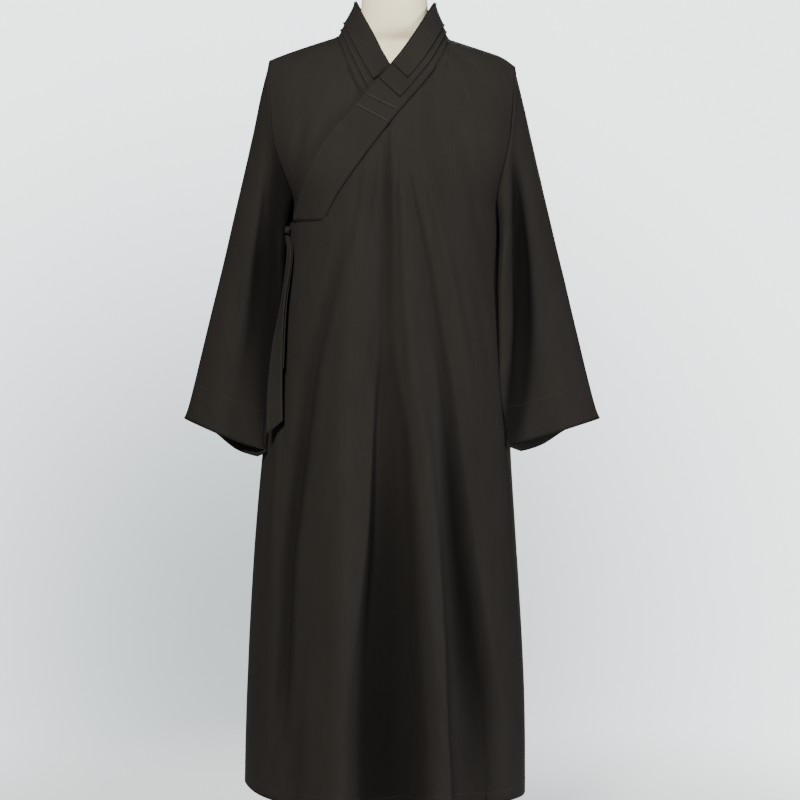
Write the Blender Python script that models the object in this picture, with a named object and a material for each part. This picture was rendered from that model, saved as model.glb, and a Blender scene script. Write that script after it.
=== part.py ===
"""A Buddhist monk's long cross-collared robe, worn closed on a limbless dress form with a stand.

Metres, +Z up. The robe faces -Y and the wearer's left is +X. The origin is on the floor, under the stand's
pole. Each cloth piece is a wall: a grid of points on the robe's outer surface, moved in by its thickness.
"""

import math
from collections import namedtuple

import bmesh
import bpy
from mathutils import Vector

# Driving sizes
HEM_Z = 0.150  # the front hem's height at its middle
JOIN_Z = 0.980  # below this the fronts and the back share the same level rows
ARMPIT_Z = 1.145
CHEST_Z = 1.200  # above this the surface leans back to the shoulder line
SLIT_Z = 0.545  # the side slits open below this
CLOTH = 0.0016  # one layer of the robe's cloth
BAND = 0.0022  # the collar band, folded and stitched
BAND_LIFT = 0.0010  # how far the band stands proud of the panel it is sewn to
STRIP = 0.0010  # each strip laid on the band
SEAM = 0.0004  # the gap between two pieces at a seam
SHOULDER_MIDDLE = -0.008  # the robe hangs a little to the wearer's right
SHOULDER_SLOPE = 0.35

LOW_ROWS = 13
ARM_ROWS = 10
HIGH_ROWS = ARM_ROWS + 2  # two rows below the armpit, then the armhole's
FREE_EDGE_ANGLE = -84.0  # the over front's free edge lies just short of the right side seam
END_COLUMNS = 4  # columns between the side seam and the collar band's end
SHOULDER_COLUMNS = 6
SLEEVE_ROWS = 11

# The robe's level sections: where the sides, the middle of the front and the middle of the back lie, and how
# square the section is (2 is an ellipse). Above the armpit the sides are those of the whole oval, which the
# armholes cut.
Section = namedtuple("Section", "z right left front back power")
SECTIONS = [
    Section(0.100, -0.262, 0.229, 0.187, 0.174, 2.2),
    Section(0.300, -0.258, 0.228, 0.178, 0.167, 2.2),
    Section(0.440, -0.252, 0.222, 0.171, 0.161, 2.2),
    Section(0.580, -0.243, 0.213, 0.163, 0.154, 2.2),
    Section(0.740, -0.229, 0.204, 0.155, 0.146, 2.25),
    Section(0.910, -0.210, 0.192, 0.146, 0.137, 2.3),
    Section(1.050, -0.193, 0.187, 0.138, 0.129, 2.4),
    Section(1.145, -0.184, 0.187, 0.133, 0.124, 2.5),
    Section(1.200, -0.203, 0.199, 0.131, 0.122, 2.6),
    Section(1.250, -0.219, 0.211, 0.130, 0.121, 2.8),
    Section(1.320, -0.228, 0.219, 0.130, 0.120, 2.8),
    Section(1.400, -0.2315, 0.2255, 0.130, 0.120, 2.8),
    Section(1.500, -0.232, 0.226, 0.130, 0.120, 2.8),
]

# The largest folds: troughs have a positive depth, ridges a negative one. Each starts at a height and runs to
# the hem, and grows on its way down.
Fold = namedtuple("Fold", "start_z start_x hem_x depth start_width hem_width")
FRONT_FOLDS = [
    Fold(1.24, -0.006, -0.001, 0.030, 0.016, 0.042),
    Fold(1.22, 0.008, 0.074, -0.012, 0.016, 0.022),
    Fold(1.20, 0.030, 0.128, 0.020, 0.018, 0.027),
    Fold(1.02, -0.100, -0.205, 0.011, 0.020, 0.024),
    Fold(1.10, -0.060, -0.097, -0.010, 0.040, 0.050),
    Fold(0.70, 0.165, 0.182, -0.008, 0.024, 0.026),
]
BACK_FOLDS = [
    Fold(1.10, -0.010, -0.018, 0.026, 0.020, 0.040),
    Fold(1.05, 0.050, 0.052, -0.010, 0.024, 0.028),
    Fold(1.15, 0.090, 0.120, 0.021, 0.020, 0.030),
    Fold(1.05, -0.070, -0.082, -0.009, 0.024, 0.028),
    Fold(1.15, -0.105, -0.148, 0.019, 0.020, 0.030),
]

# The collar band, from the middle of the back of the neck to each end: the seam that joins it to the robe, and
# its free edge. An edge with no depth lies on the robe's surface.
Band = namedtuple("Band", "seam_x seam_z edge_x edge_z edge_y")
BACK_NECK = Band(-0.001, 1.434, 0.001, 1.500, 0.0705)
OVER_BAND = [
    Band(0.038, 1.438, 0.036, 1.503, 0.0630),
    Band(0.071, 1.447, 0.060, 1.511, 0.0370),
    Band(0.0965, 1.4560, 0.0710, 1.5200, 0.0020),
    Band(0.0931, 1.4440, 0.0600, 1.4975, -0.0345),
    Band(0.0771, 1.4059, 0.0390, 1.4600, -0.0590),
    Band(0.0620, 1.3820, 0.0200, 1.4310, -0.0710),
    Band(0.0440, 1.3580, -0.0010, 1.4030, -0.0800),
    Band(0.0076, 1.3143, -0.0380, 1.3590, None),
    Band(-0.0200, 1.2780, -0.0690, 1.3220, None),
    Band(-0.0467, 1.2420, -0.0980, 1.2880, None),
    Band(-0.0690, 1.2110, -0.1220, 1.2580, None),
    Band(-0.0904, 1.1815, -0.1410, 1.2200, None),
    Band(-0.1060, 1.1560, -0.1580, 1.1780, None),
    Band(-0.1190, 1.1300, -0.1720, 1.1310, None),
]
UNDER_BAND = [
    Band(-0.040, 1.438, -0.034, 1.503, 0.0630),
    Band(-0.073, 1.448, -0.056, 1.511, 0.0370),
    Band(-0.1000, 1.4592, -0.0665, 1.5220, 0.0020),
    Band(-0.0945, 1.4440, -0.0585, 1.4980, -0.0330),
    Band(-0.0855, 1.4176, -0.0415, 1.4660, -0.0540),
    Band(-0.0720, 1.3850, -0.0240, 1.4300, -0.0690),
    Band(-0.0563, 1.3525, -0.0065, 1.3940, -0.0780),
    Band(-0.0360, 1.3180, 0.0140, 1.3560, None),
    Band(-0.0050, 1.2770, 0.0440, 1.3160, None),
    Band(0.0300, 1.2400, 0.0780, 1.2790, None),
    Band(0.0600, 1.2080, 0.1070, 1.2450, None),
]
OVER_STEPS = 20  # grid steps from the middle of the back to the over band's end
UNDER_STEPS = 16
NECK_STEPS = 5  # of those, the steps between the middle of the back and the shoulder line
UNDER_STRIPS_END = 11  # the strips stop under the crossing
MID_STRIP_END = 11.4
TOP_STRIP_END = 10.5
UPPER_WELT = (11.8, 12.3)  # where it starts on the seam and ends on the free edge, in steps
LOWER_WELT = (12.6, 13.0)
WELT_HALF = 0.06
ACROSS = (1.0, 0.81, 0.62, 0.42, 0.21, 0.0)  # the band's grid across, from the seam to the free edge

# The sleeves: the cuff's outer and inner corners
Cuff = namedtuple("Cuff", "side outer_x outer_z inner_x inner_z")
CUFF_RIGHT = Cuff(-1, -0.3675, 0.7935, -0.2330, 0.7380)
CUFF_LEFT = Cuff(1, 0.3605, 0.7935, 0.2080, 0.7480)

SLEEVE_CLEAR = 0.003  # a sleeve hangs this clear of the robe's side
SLEEVE_FORWARD = 0.050  # how far in front of the side seam its inner edge hangs
CUFF_DROP = 0.016  # the back of the cuff hangs lower than its front

TIE_WIDTH = 0.030
TIE_THICKNESS = 0.0012

# The dress form's level sections
FormRing = namedtuple("FormRing", "z x y half_width half_depth power")
FORM = [
    FormRing(0.800, 0.000, 0.000, 0.150, 0.100, 2.2),
    FormRing(0.806, 0.000, 0.000, 0.158, 0.108, 2.2),
    FormRing(0.860, 0.000, 0.000, 0.168, 0.117, 2.2),
    FormRing(0.930, -0.001, 0.000, 0.168, 0.117, 2.2),
    FormRing(1.000, -0.002, -0.002, 0.157, 0.107, 2.2),
    FormRing(1.060, -0.003, -0.003, 0.150, 0.103, 2.2),
    FormRing(1.130, -0.004, -0.004, 0.156, 0.108, 2.3),
    FormRing(1.200, -0.006, -0.004, 0.168, 0.110, 2.4),
    FormRing(1.260, -0.008, -0.003, 0.182, 0.104, 2.4),
    FormRing(1.320, -0.008, 0.001, 0.192, 0.088, 2.3),
    FormRing(1.370, -0.008, 0.004, 0.196, 0.070, 2.2),
    FormRing(1.400, -0.008, 0.007, 0.1965, 0.056, 2.1),
    FormRing(1.4130, -0.008, 0.008, 0.1940, 0.050, 2.0),
    FormRing(1.4210, -0.008, 0.008, 0.2000, 0.046, 1.9),
    FormRing(1.4290, -0.008, 0.008, 0.2000, 0.044, 1.8),
    FormRing(1.4370, -0.008, 0.008, 0.2000, 0.043, 1.75),
    FormRing(1.4440, -0.007, 0.008, 0.2000, 0.043, 1.7),
    FormRing(1.4500, -0.005, 0.007, 0.2000, 0.045, 1.75),
    FormRing(1.4570, -0.003, 0.005, 0.0820, 0.048, 1.9),
    FormRing(1.4660, -0.001, 0.003, 0.0705, 0.050, 2.0),
    FormRing(1.4800, 0.000, 0.001, 0.0630, 0.052, 2.0),
    FormRing(1.5000, 0.001, 0.000, 0.0590, 0.053, 2.0),
    FormRing(1.5300, 0.001, -0.002, 0.0575, 0.053, 2.0),
    FormRing(1.5660, 0.001, -0.004, 0.0570, 0.053, 2.0),
    FormRing(1.5720, 0.001, -0.004, 0.0530, 0.049, 2.0),
]
FORM_SIDES = 28
FORM_DROP = 0.0050  # the form's shoulders lie this far under the robe's outside
FORM_CLEAR = 0.0030
NECK_BASE_Z = 1.456  # above this the form stands inside the collar
POLE_RADIUS = 0.0125
BASE_RADIUS = 0.170
BASE_HEIGHT = 0.014


def clamp(t):
    return min(max(t, 0.0), 1.0)


def eased(t):
    """0 to 1, smoothly."""
    t = clamp(t)
    return t * t * (3 - 2 * t)


def mix(a, b, t):
    return a + (b - a) * t


def slope(before, here, after, before_span, after_span):
    """The slope of a smooth curve at a table's row; nothing at a row where the values turn back."""
    first, second = (here - before) / before_span, (after - here) / after_span
    return 0.0 if first * second <= 0 else (first + second) / 2


def between(rows, keys, at):
    """The row of a table at a place between its rows, on a smooth curve through them."""
    at = min(max(at, keys[0]), keys[-1])
    i = max(k for k in range(len(rows) - 1) if keys[k] <= at)
    span = keys[i + 1] - keys[i]
    t = (at - keys[i]) / span
    values = []
    for c in range(len(rows[0])):
        p1, p2 = rows[i][c], rows[i + 1][c]
        m1 = m2 = (p2 - p1) / span
        if i > 0:
            m1 = slope(rows[i - 1][c], p1, p2, keys[i] - keys[i - 1], span)
        if i + 2 < len(rows):
            m2 = slope(p1, p2, rows[i + 2][c], span, keys[i + 2] - keys[i + 1])
        values.append(
            (2 * t**3 - 3 * t**2 + 1) * p1
            + (t**3 - 2 * t**2 + t) * m1 * span
            + (3 * t**2 - 2 * t**3) * p2
            + (t**3 - t**2) * m2 * span
        )
    return type(rows[0])(*values)


SECTION_HEIGHTS = [s.z for s in SECTIONS]


def section(z):
    return between(SECTIONS, SECTION_HEIGHTS, z)


def shoulder_z(x):
    """The height of the shoulder line over a place across the robe."""
    out = abs(x - SHOULDER_MIDDLE)
    rounded = math.sqrt(out**2 + 0.04**2)
    tip = max(0.0, out - 0.2)
    return 1.4515 - SHOULDER_SLOPE * (rounded - 0.1246) - 25 * tip**2


def fold_depth(folds, x, z):
    total = 0.0
    for f in folds:
        down = clamp((f.start_z - z) / (f.start_z - HEM_Z))
        middle = mix(f.start_x, f.hem_x, down)
        width = mix(f.start_width, f.hem_width, down)
        total += f.depth * down**1.3 * math.exp(-(((x - middle) / width) ** 2))
    return total


def body_point(angle, z, side):
    """A point on the robe's outer surface. The angle runs from -90 degrees at the wearer's right side to 90 at
    the left; side is -1 on the front and 1 on the back."""
    s = section(z)
    across, along = math.sin(math.radians(angle)), math.cos(math.radians(angle))
    x = (s.left + s.right) / 2 + (s.left - s.right) / 2 * across
    crest = shoulder_z(x)
    fullness = 1.6 if side < 0 else 2.2
    drop = clamp((crest - z) / (crest - CHEST_Z))
    lean = (1 - (1 - drop) ** fullness) ** (1 / fullness)
    rounded = max(1 - abs(across) ** s.power, 0.0) ** (1 / s.power)
    depth = (s.front if side < 0 else s.back) * rounded * lean
    folds = FRONT_FOLDS if side < 0 else BACK_FOLDS
    depth -= fold_depth(folds, x, z) * math.sqrt(max(along, 0.0))
    return Vector((x, side * depth, z))


def angle_at(x, z):
    """The body angle of a place given as it is seen from the front."""
    s = section(z)
    share = (x - (s.left + s.right) / 2) / ((s.left - s.right) / 2)
    return math.degrees(math.asin(max(-1.0, min(1.0, share))))


def edge_angle(z):
    """How far round a panel reaches below the armpit: to the side seam, or short of it where the slit is open."""
    return 90 - 3.2 * eased((SLIT_Z - z) / (SLIT_Z - HEM_Z))


def armhole(share):
    """(angle, height) on the armhole, from the armpit at 0 to the shoulder point at 1."""
    top = 1.4155
    z = mix(ARMPIT_Z, top, (1 - math.cos(math.pi * share)) / 2)
    return 69 + 21 * math.exp(-(z - ARMPIT_Z) / 0.02), z


def shoulder_point(sign):
    """(angle, height) of the armhole's top, where it meets the shoulder line."""
    angle, z = armhole(1.0)
    for _ in range(12):
        z = shoulder_z(body_point(sign * angle, z, 1).x)
    return sign * angle, z


def armhole_row(sign, row):
    """(angle, height) of an armhole row, with its top drawn to the shoulder point."""
    angle, z = armhole(row / ARM_ROWS)
    top = shoulder_point(sign)[1]
    stretched = ARMPIT_Z + (z - ARMPIT_Z) * (top - ARMPIT_Z) / (armhole(1.0)[1] - ARMPIT_Z)
    return sign * angle, stretched


def side_edge(sign):
    """(angle, height) of each upper row at a side: two rows below the armpit, then the armhole."""
    rows = [(sign * 90.0, mix(JOIN_Z, ARMPIT_Z, k / 2)) for k in range(2)]
    return rows + [armhole_row(sign, k) for k in range(ARM_ROWS + 1)]


def hem_z(angle, side):
    """The hem's height: the right front corner swings up a little, and the left one hangs lower."""
    if side > 0:
        return HEM_Z + 0.004 - 0.004 * eased((angle - 50) / 40)
    return HEM_Z + 0.016 * eased((-angle - 45) / 45) - 0.006 * eased((angle - 45) / 45)


def band_stations(rows, steps):
    """The collar band on one side, evenly stepped from the middle of the back: a list of (seam, edge) points."""
    whole = [BACK_NECK, *rows]
    keys = list(range(len(whole)))
    shoulder_key = 3  # the row of both tables at the shoulder line
    stations = []
    for i in range(steps + 1):
        if i <= NECK_STEPS:
            at = shoulder_key * i / NECK_STEPS
        else:
            at = mix(shoulder_key, len(whole) - 1, (i - NECK_STEPS) / (steps - NECK_STEPS))
        side = 1 if at < shoulder_key else -1
        known = [r for r in whole if r.edge_y is not None]
        plain = [r._replace(edge_y=known[-1].edge_y if r.edge_y is None else r.edge_y) for r in whole]
        row = between(plain, keys, at)
        seam_z = shoulder_z(row.seam_x) if i == NECK_STEPS else row.seam_z
        seam = body_point(angle_at(row.seam_x, seam_z), seam_z, side)
        on_body = body_point(angle_at(row.edge_x, row.edge_z), row.edge_z, -1)
        settled = eased(at - (len(known) - 2))
        edge_y = mix(row.edge_y, on_body.y, settled) if at > shoulder_key else row.edge_y
        stations.append((seam, Vector((row.edge_x, edge_y, row.edge_z))))
    return stations


def layer_depth(x, z):
    """How far the under front lies inside the over front. It comes level above the band, towards the shoulder."""
    crossing_x, crossing_z = -0.0065, 1.394
    above = (x - crossing_x) * -0.756 + (z - crossing_z) * 0.655
    from_crossing = math.hypot(x + 0.025, z - 1.365)
    depth = 0.0042 + 0.0022 * math.exp(-((from_crossing / 0.075) ** 2))
    return depth * (1 - eased((above - 0.012) / 0.08))


def graded(row):
    """How far up the upper part a row lies; the rows crowd towards the shoulder, where the surface rounds over."""
    return math.sin(math.pi / 2 * row / HIGH_ROWS)


def filled_patch(bottom, top, left, right):
    """(angle, height) pairs of the upper part between its four edges, row by row."""
    columns = len(bottom) - 1
    patch = []
    for k in range(HIGH_ROWS + 1):
        v = graded(k)
        row = []
        for i in range(columns + 1):
            u = i / columns
            pair = []
            for c in range(2):
                ruled = mix(bottom[i][c], top[i][c], v) + mix(left[k][c], right[k][c], u)
                corners = mix(mix(bottom[0][c], bottom[-1][c], u), mix(top[0][c], top[-1][c], u), v)
                pair.append(ruled - corners)
            row.append(tuple(pair))
        patch.append(row)
    return patch


def low_rows(angles, even, side):
    """(angle, height) pairs of the level rows from the hem up to the join. The columns spread evenly at the hem."""
    rows = []
    for k in range(LOW_ROWS):
        row = []
        for joined, spread in zip(angles, even):
            z = mix(hem_z(spread, side), JOIN_Z, k / LOW_ROWS)
            angle = mix(spread, joined, eased((z - 0.55) / (JOIN_Z - 0.55)))
            row.append((angle * edge_angle(z) / 90, z))
        rows.append(row)
    return rows


def grid_normals(grid, wrapped=False):
    """The surface's direction at each grid point, outwards where rows run up and columns to the wearer's left on
    the front."""
    rows, columns = len(grid), len(grid[0])
    normals = []
    for k in range(rows):
        line = []
        for i in range(columns):
            before = grid[k][(i - 1) % columns] if wrapped else grid[k][max(i - 1, 0)]
            after = grid[k][(i + 1) % columns] if wrapped else grid[k][min(i + 1, columns - 1)]
            up = grid[min(k + 1, rows - 1)][i] - grid[max(k - 1, 0)][i]
            line.append((after - before).cross(up).normalized())
        normals.append(line)
    return normals


def level_y(normal):
    """A seam's direction with nothing towards the front or back, so that both pieces end in one plane."""
    return Vector((normal.x, 0.0, normal.z)).normalized()


def moved(grid, normals, by):
    """The grid moved out by a distance, or by a function of the point."""
    return [
        [p + n * (by(p) if callable(by) else by) for p, n in zip(line, directions)]
        for line, directions in zip(grid, normals)
    ]


def material(name, colour, roughness, metallic=0.0):
    made = bpy.data.materials.new(name)
    made.use_nodes = True
    shader = made.node_tree.nodes["Principled BSDF"]
    shader.inputs["Base Color"].default_value = (*colour, 1.0)
    shader.inputs["Roughness"].default_value = roughness
    shader.inputs["Metallic"].default_value = metallic
    return made


def finished(name, bm, finish):
    """An object with its faces out, smooth but for its rims."""
    bmesh.ops.recalc_face_normals(bm, faces=bm.faces)
    mesh = bpy.data.meshes.new(name)
    bm.to_mesh(mesh)
    bm.free()
    mesh.shade_smooth()
    mesh.set_sharp_from_angle(angle=math.radians(50))
    mesh.materials.append(finish)
    obj = bpy.data.objects.new(name, mesh)
    bpy.context.scene.collection.objects.link(obj)
    return obj


def wall(name, outer, inner, finish, wrapped=False):
    """A closed wall between two grids of the same shape. A wrapped one is a tube, open at both ends."""
    bm = bmesh.new()
    faces = [[[bm.verts.new(p) for p in line] for line in grid] for grid in (outer, inner)]
    rows, columns = len(outer), len(outer[0])
    steps = columns if wrapped else columns - 1

    def quad(a, b, c, d):
        bm.faces.new((a, b, c, d))

    for k in range(rows - 1):
        for i in range(steps):
            j = (i + 1) % columns
            out, back = faces
            quad(out[k][i], out[k][j], out[k + 1][j], out[k + 1][i])
            quad(back[k][i], back[k + 1][i], back[k + 1][j], back[k][j])
    out, back = faces
    for i in range(steps):
        j = (i + 1) % columns
        quad(out[0][j], out[0][i], back[0][i], back[0][j])
        quad(out[-1][i], out[-1][j], back[-1][j], back[-1][i])
    if not wrapped:
        for k in range(rows - 1):
            quad(out[k][0], out[k + 1][0], back[k + 1][0], back[k][0])
            quad(out[k + 1][-1], out[k][-1], back[k][-1], back[k + 1][-1])
    return finished(name, bm, finish)


def panel(name, pairs, side, lift, finish, level_top, sides):
    """A body panel from its (angle, height) pairs. Its seam directions are levelled along the side seams, and
    along the top columns that lie on a shoulder line. Returns the outer grid and its directions."""
    grid = [[body_point(angle, z, side) for angle, z in row] for row in pairs]
    normals = grid_normals(grid)
    if side > 0:
        normals = [[-n for n in line] for line in normals]
    for k in range(len(grid)):
        for column, levelled in sides:
            if k <= levelled:
                normals[k][column] = level_y(normals[k][column])
    for i in level_top:
        normals[-1][i] = level_y(normals[-1][i])
    for line in grid:
        for p in line:
            p.y += side * SEAM / 2
    outer = moved(grid, normals, lift)
    wall(name, outer, moved(outer, normals, -CLOTH), finish)
    return outer, normals


def even_angles(columns, first=-90):
    return [mix(first, 90, i / columns) for i in range(columns + 1)]


def front_angles(over):
    """The over front's column angles at the join, under the places where its top edge has its points."""
    ends = [angle_at(over[i][0].x, JOIN_Z) for i in (OVER_STEPS, NECK_STEPS)]
    steps = OVER_STEPS - NECK_STEPS
    seam = [mix(*ends, i / steps) for i in range(steps + 1)]
    side = [mix(FREE_EDGE_ANGLE, seam[0], i / END_COLUMNS) for i in range(END_COLUMNS)]
    shoulder = [mix(seam[-1], 90, i / SHOULDER_COLUMNS) for i in range(1, SHOULDER_COLUMNS + 1)]
    return side + seam + shoulder


def pair_at(point):
    return angle_at(point.x, point.z), point.z


def shoulder_pairs(start, sign, columns):
    """(angle, height) pairs along the shoulder line, from a neck point out to the armhole."""
    end_angle, end_z = shoulder_point(sign)
    end_x = body_point(end_angle, end_z, 1).x
    pairs = []
    for i in range(1, columns + 1):
        x = mix(start.x, end_x, i / columns)
        z = shoulder_z(x)
        pairs.append((angle_at(x, z), z))
    pairs[-1] = (end_angle, end_z)
    return pairs


def build_front_outer(over, cloth):
    """The over front: its top edge runs up the collar seam to the neck, then out along the left shoulder."""
    seam = [pair_at(s) for s, _ in over[NECK_STEPS:]][::-1]
    end_angle, end_z = seam[0]
    below_band = end_z - SEAM
    seam[0] = (end_angle, below_band)
    top = [(mix(FREE_EDGE_ANGLE, end_angle, i / END_COLUMNS), below_band) for i in range(END_COLUMNS)]
    top += seam + shoulder_pairs(over[NECK_STEPS][0], 1, SHOULDER_COLUMNS)
    angles = front_angles(over)
    columns = len(angles) - 1
    left = [(FREE_EDGE_ANGLE, mix(JOIN_Z, below_band, graded(k))) for k in range(HIGH_ROWS + 1)]
    bottom = [(angle, JOIN_Z) for angle in angles]
    even = even_angles(columns, FREE_EDGE_ANGLE)
    pairs = low_rows(angles, even, -1) + filled_patch(bottom, top, left, side_edge(1))
    level_top = range(columns - SHOULDER_COLUMNS, columns + 1)
    return panel("front_outer", pairs, -1, 0.0, cloth, level_top, [(columns, LOW_ROWS + 2)])


def build_front_inner(over, under, cloth):
    """The under front, inside the over one: from the right armhole and shoulder across to its own free edge."""
    seam = [pair_at(s) for s, _ in under[NECK_STEPS:]]
    top = shoulder_pairs(under[NECK_STEPS][0], -1, SHOULDER_COLUMNS)[::-1] + seam
    columns = len(top) - 1
    over_angles = front_angles(over)
    angles = [-90.0, *over_angles[:columns]]
    even = [-90.0, *even_angles(len(over_angles) - 1, FREE_EDGE_ANGLE)[:columns]]
    end_angle, end_z = seam[-1]
    right = [
        (mix(angles[-1], end_angle, eased(k / HIGH_ROWS)), mix(JOIN_Z, end_z, graded(k)))
        for k in range(HIGH_ROWS + 1)
    ]
    bottom = [(angle, JOIN_Z) for angle in angles]
    pairs = low_rows(angles, even, -1) + filled_patch(bottom, top, side_edge(-1), right)
    level_top = range(SHOULDER_COLUMNS + 1)

    def lift(p):
        return -layer_depth(p.x, p.z) * eased(-p.y / 0.020)

    return panel("front_inner", pairs, -1, lift, cloth, level_top, [(0, LOW_ROWS + 2)])


def build_back(over, under, cloth):
    """The back, from side seam to side seam, with its top edge along both shoulders and the back of the neck."""
    neck = [s for s, _ in under[1 : NECK_STEPS + 1]][::-1] + [s for s, _ in over[: NECK_STEPS + 1]]
    top = shoulder_pairs(neck[0], -1, SHOULDER_COLUMNS)[::-1] + [pair_at(s) for s in neck]
    top += shoulder_pairs(neck[-1], 1, SHOULDER_COLUMNS)
    columns = len(top) - 1
    even = even_angles(columns)
    bottom = [(angle, JOIN_Z) for angle in even]
    pairs = low_rows(even, even, 1) + filled_patch(bottom, top, side_edge(-1), side_edge(1))
    level_top = [*range(SHOULDER_COLUMNS + 1), *range(columns - SHOULDER_COLUMNS, columns + 1)]
    sides = [(0, LOW_ROWS + 2), (columns, LOW_ROWS + 2)]
    return panel("back", pairs, 1, 0.0, cloth, level_top, sides)


def sleeve_profile(share, down, trough_depth):
    """How far the front or back of a hanging sleeve stands off its middle: nothing at the outer fold and at the
    inner edge, and a long trough between, which starts in the middle and runs to the inner edge."""
    fullness = mix(0.056, 0.026, eased(down / 0.75))
    belly = math.sin(math.pi * share**0.85) ** 0.6 if 0 < share < 1 else 0.0
    trough_at = mix(0.58, 0.80, down)
    trough = trough_depth * math.exp(-(((share - trough_at) / 0.13) ** 2)) * eased(down / 0.4)
    return fullness * belly * (1 - trough)


def armhole_loop(front, back, column):
    """The points round an armhole, down the front from the shoulder and up the back, and the body's direction at
    each."""
    first = LOW_ROWS + 2
    points, directions = [], []
    for grid, source in ((front[0], points), (front[1], directions)):
        source += [line[column].copy() for line in grid[first:]][::-1]
    for grid, source in ((back[0], points), (back[1], directions)):
        source += [line[column].copy() for line in grid[first:]][1:-1]
    return points, directions


def sleeve_start(points, directions, side):
    """The sleeve's first ring, just off the armhole's edge, and at each point the way out along the body."""
    count = len(points)
    ring, ways = [], []
    for i, (p, n) in enumerate(zip(points, directions)):
        along = points[(i + 1) % count] - points[i - 1]
        way = along.cross(n).normalized()
        if way.dot(Vector((side, 0, 0.5))) < 0:
            way = -way
        under_arm = math.exp(-(((i - ARM_ROWS) / 2.5) ** 2))
        ring.append(p + (way + n * under_arm) * SEAM)
        ways.append(way)
    return ring, ways


def beside_body(y, z, side):
    """How far out the robe's side lies at a depth and height."""
    s = section(z)
    share = min(abs(y) / (s.front if y < 0 else s.back), 1.0)
    reach = (1 - share**s.power) ** (1 / s.power)
    return (s.left + s.right) / 2 + side * (s.left - s.right) / 2 * reach


def sleeve_rings(cuff, start_ring):
    """The sleeve's outer rings, from the armhole to the cuff. Its inner edge hangs a little in front of the robe's
    side, and every point stays clear of it."""
    top, pit = start_ring[0], start_ring[ARM_ROWS]
    outer_end = Vector((cuff.outer_x, 0.0, cuff.outer_z))
    inner_end = Vector((cuff.inner_x, 0.0, cuff.inner_z))
    around = len(start_ring)
    start = pit - top
    rings = []
    for row in range(SLEEVE_ROWS + 1):
        down = row / SLEEVE_ROWS
        outer = top.lerp(outer_end, down)
        inner = pit.lerp(inner_end, down)
        inner.y -= SLEEVE_FORWARD * eased(down / 0.35)
        inner.x = beside_body(inner.y, inner.z, cuff.side) if row else pit.x
        inner.x = mix(inner.x, inner_end.x, eased((down - 0.75) / 0.25))
        ring = []
        for i, p in enumerate(start_ring):
            on_front = i <= ARM_ROWS
            under_arm = math.exp(-(((i - ARM_ROWS) / 3) ** 2))
            flat = eased(down / mix(0.4, 0.12, under_arm))
            share = i / ARM_ROWS if on_front else (around - i) / ARM_ROWS
            along = (p - top).dot(start) / start.length_squared
            off_line = p - top - start * along
            even = mix(along, share**1.1, flat)
            stand = -sleeve_profile(share, down, 0.6) if on_front else sleeve_profile(share, down, 0.2)
            hanging = Vector((0.0, stand, 0.0))
            point = outer + (inner - outer) * even + off_line * (1 - flat) + hanging * flat
            if not on_front:
                point.z -= CUFF_DROP * eased((share - 0.35) / 0.4) * eased((down - 0.6) / 0.4)
            if row:
                side = beside_body(point.y, point.z, cuff.side) + cuff.side * SLEEVE_CLEAR
                point.x = cuff.side * max(cuff.side * point.x, cuff.side * side)
            ring.append(point)
        rings.append(ring)
    return rings


def build_sleeve(name, cuff, front, back, column, cloth):
    """A sleeve as a tube from its armhole to its open cuff, where the turned hem makes it thicker."""
    points, directions = armhole_loop(front, back, column)
    start_ring, ways = sleeve_start(points, directions, cuff.side)
    rings = sleeve_rings(cuff, start_ring)
    normals = grid_normals(rings, wrapped=True)
    if cuff.side < 0:
        normals = [[-n for n in line] for line in normals]
    for i, way in enumerate(ways):
        n = normals[0][i]
        leaning = max(n.dot(way), 0.0)
        normals[0][i] = (n - way * leaning).normalized()
    for line in normals:
        for fold in (0, ARM_ROWS):
            line[fold] = level_y(line[fold])
    hem_from = 0.88
    inner = []
    for row, (ring, line) in enumerate(zip(rings, normals)):
        thick = CLOTH * (1.5 if row / SLEEVE_ROWS > hem_from else 1.0)
        inner.append([p - n * thick for p, n in zip(ring, line)])
    return wall(name, rings, inner, cloth, wrapped=True)


def seam_shift(index, stations, edges):
    """How far a seam point moved with the panel it belongs to. The edges are the panels' top rows by name."""
    at = abs(index)
    if at <= NECK_STEPS:
        moved_to = edges["back"][SHOULDER_COLUMNS + NECK_STEPS + index]
    elif index > 0:
        moved_to = edges["front_outer"][END_COLUMNS + OVER_STEPS - at]
    else:
        moved_to = edges["front_inner"][SHOULDER_COLUMNS + at - NECK_STEPS]
    return moved_to - stations[at][0]


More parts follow.
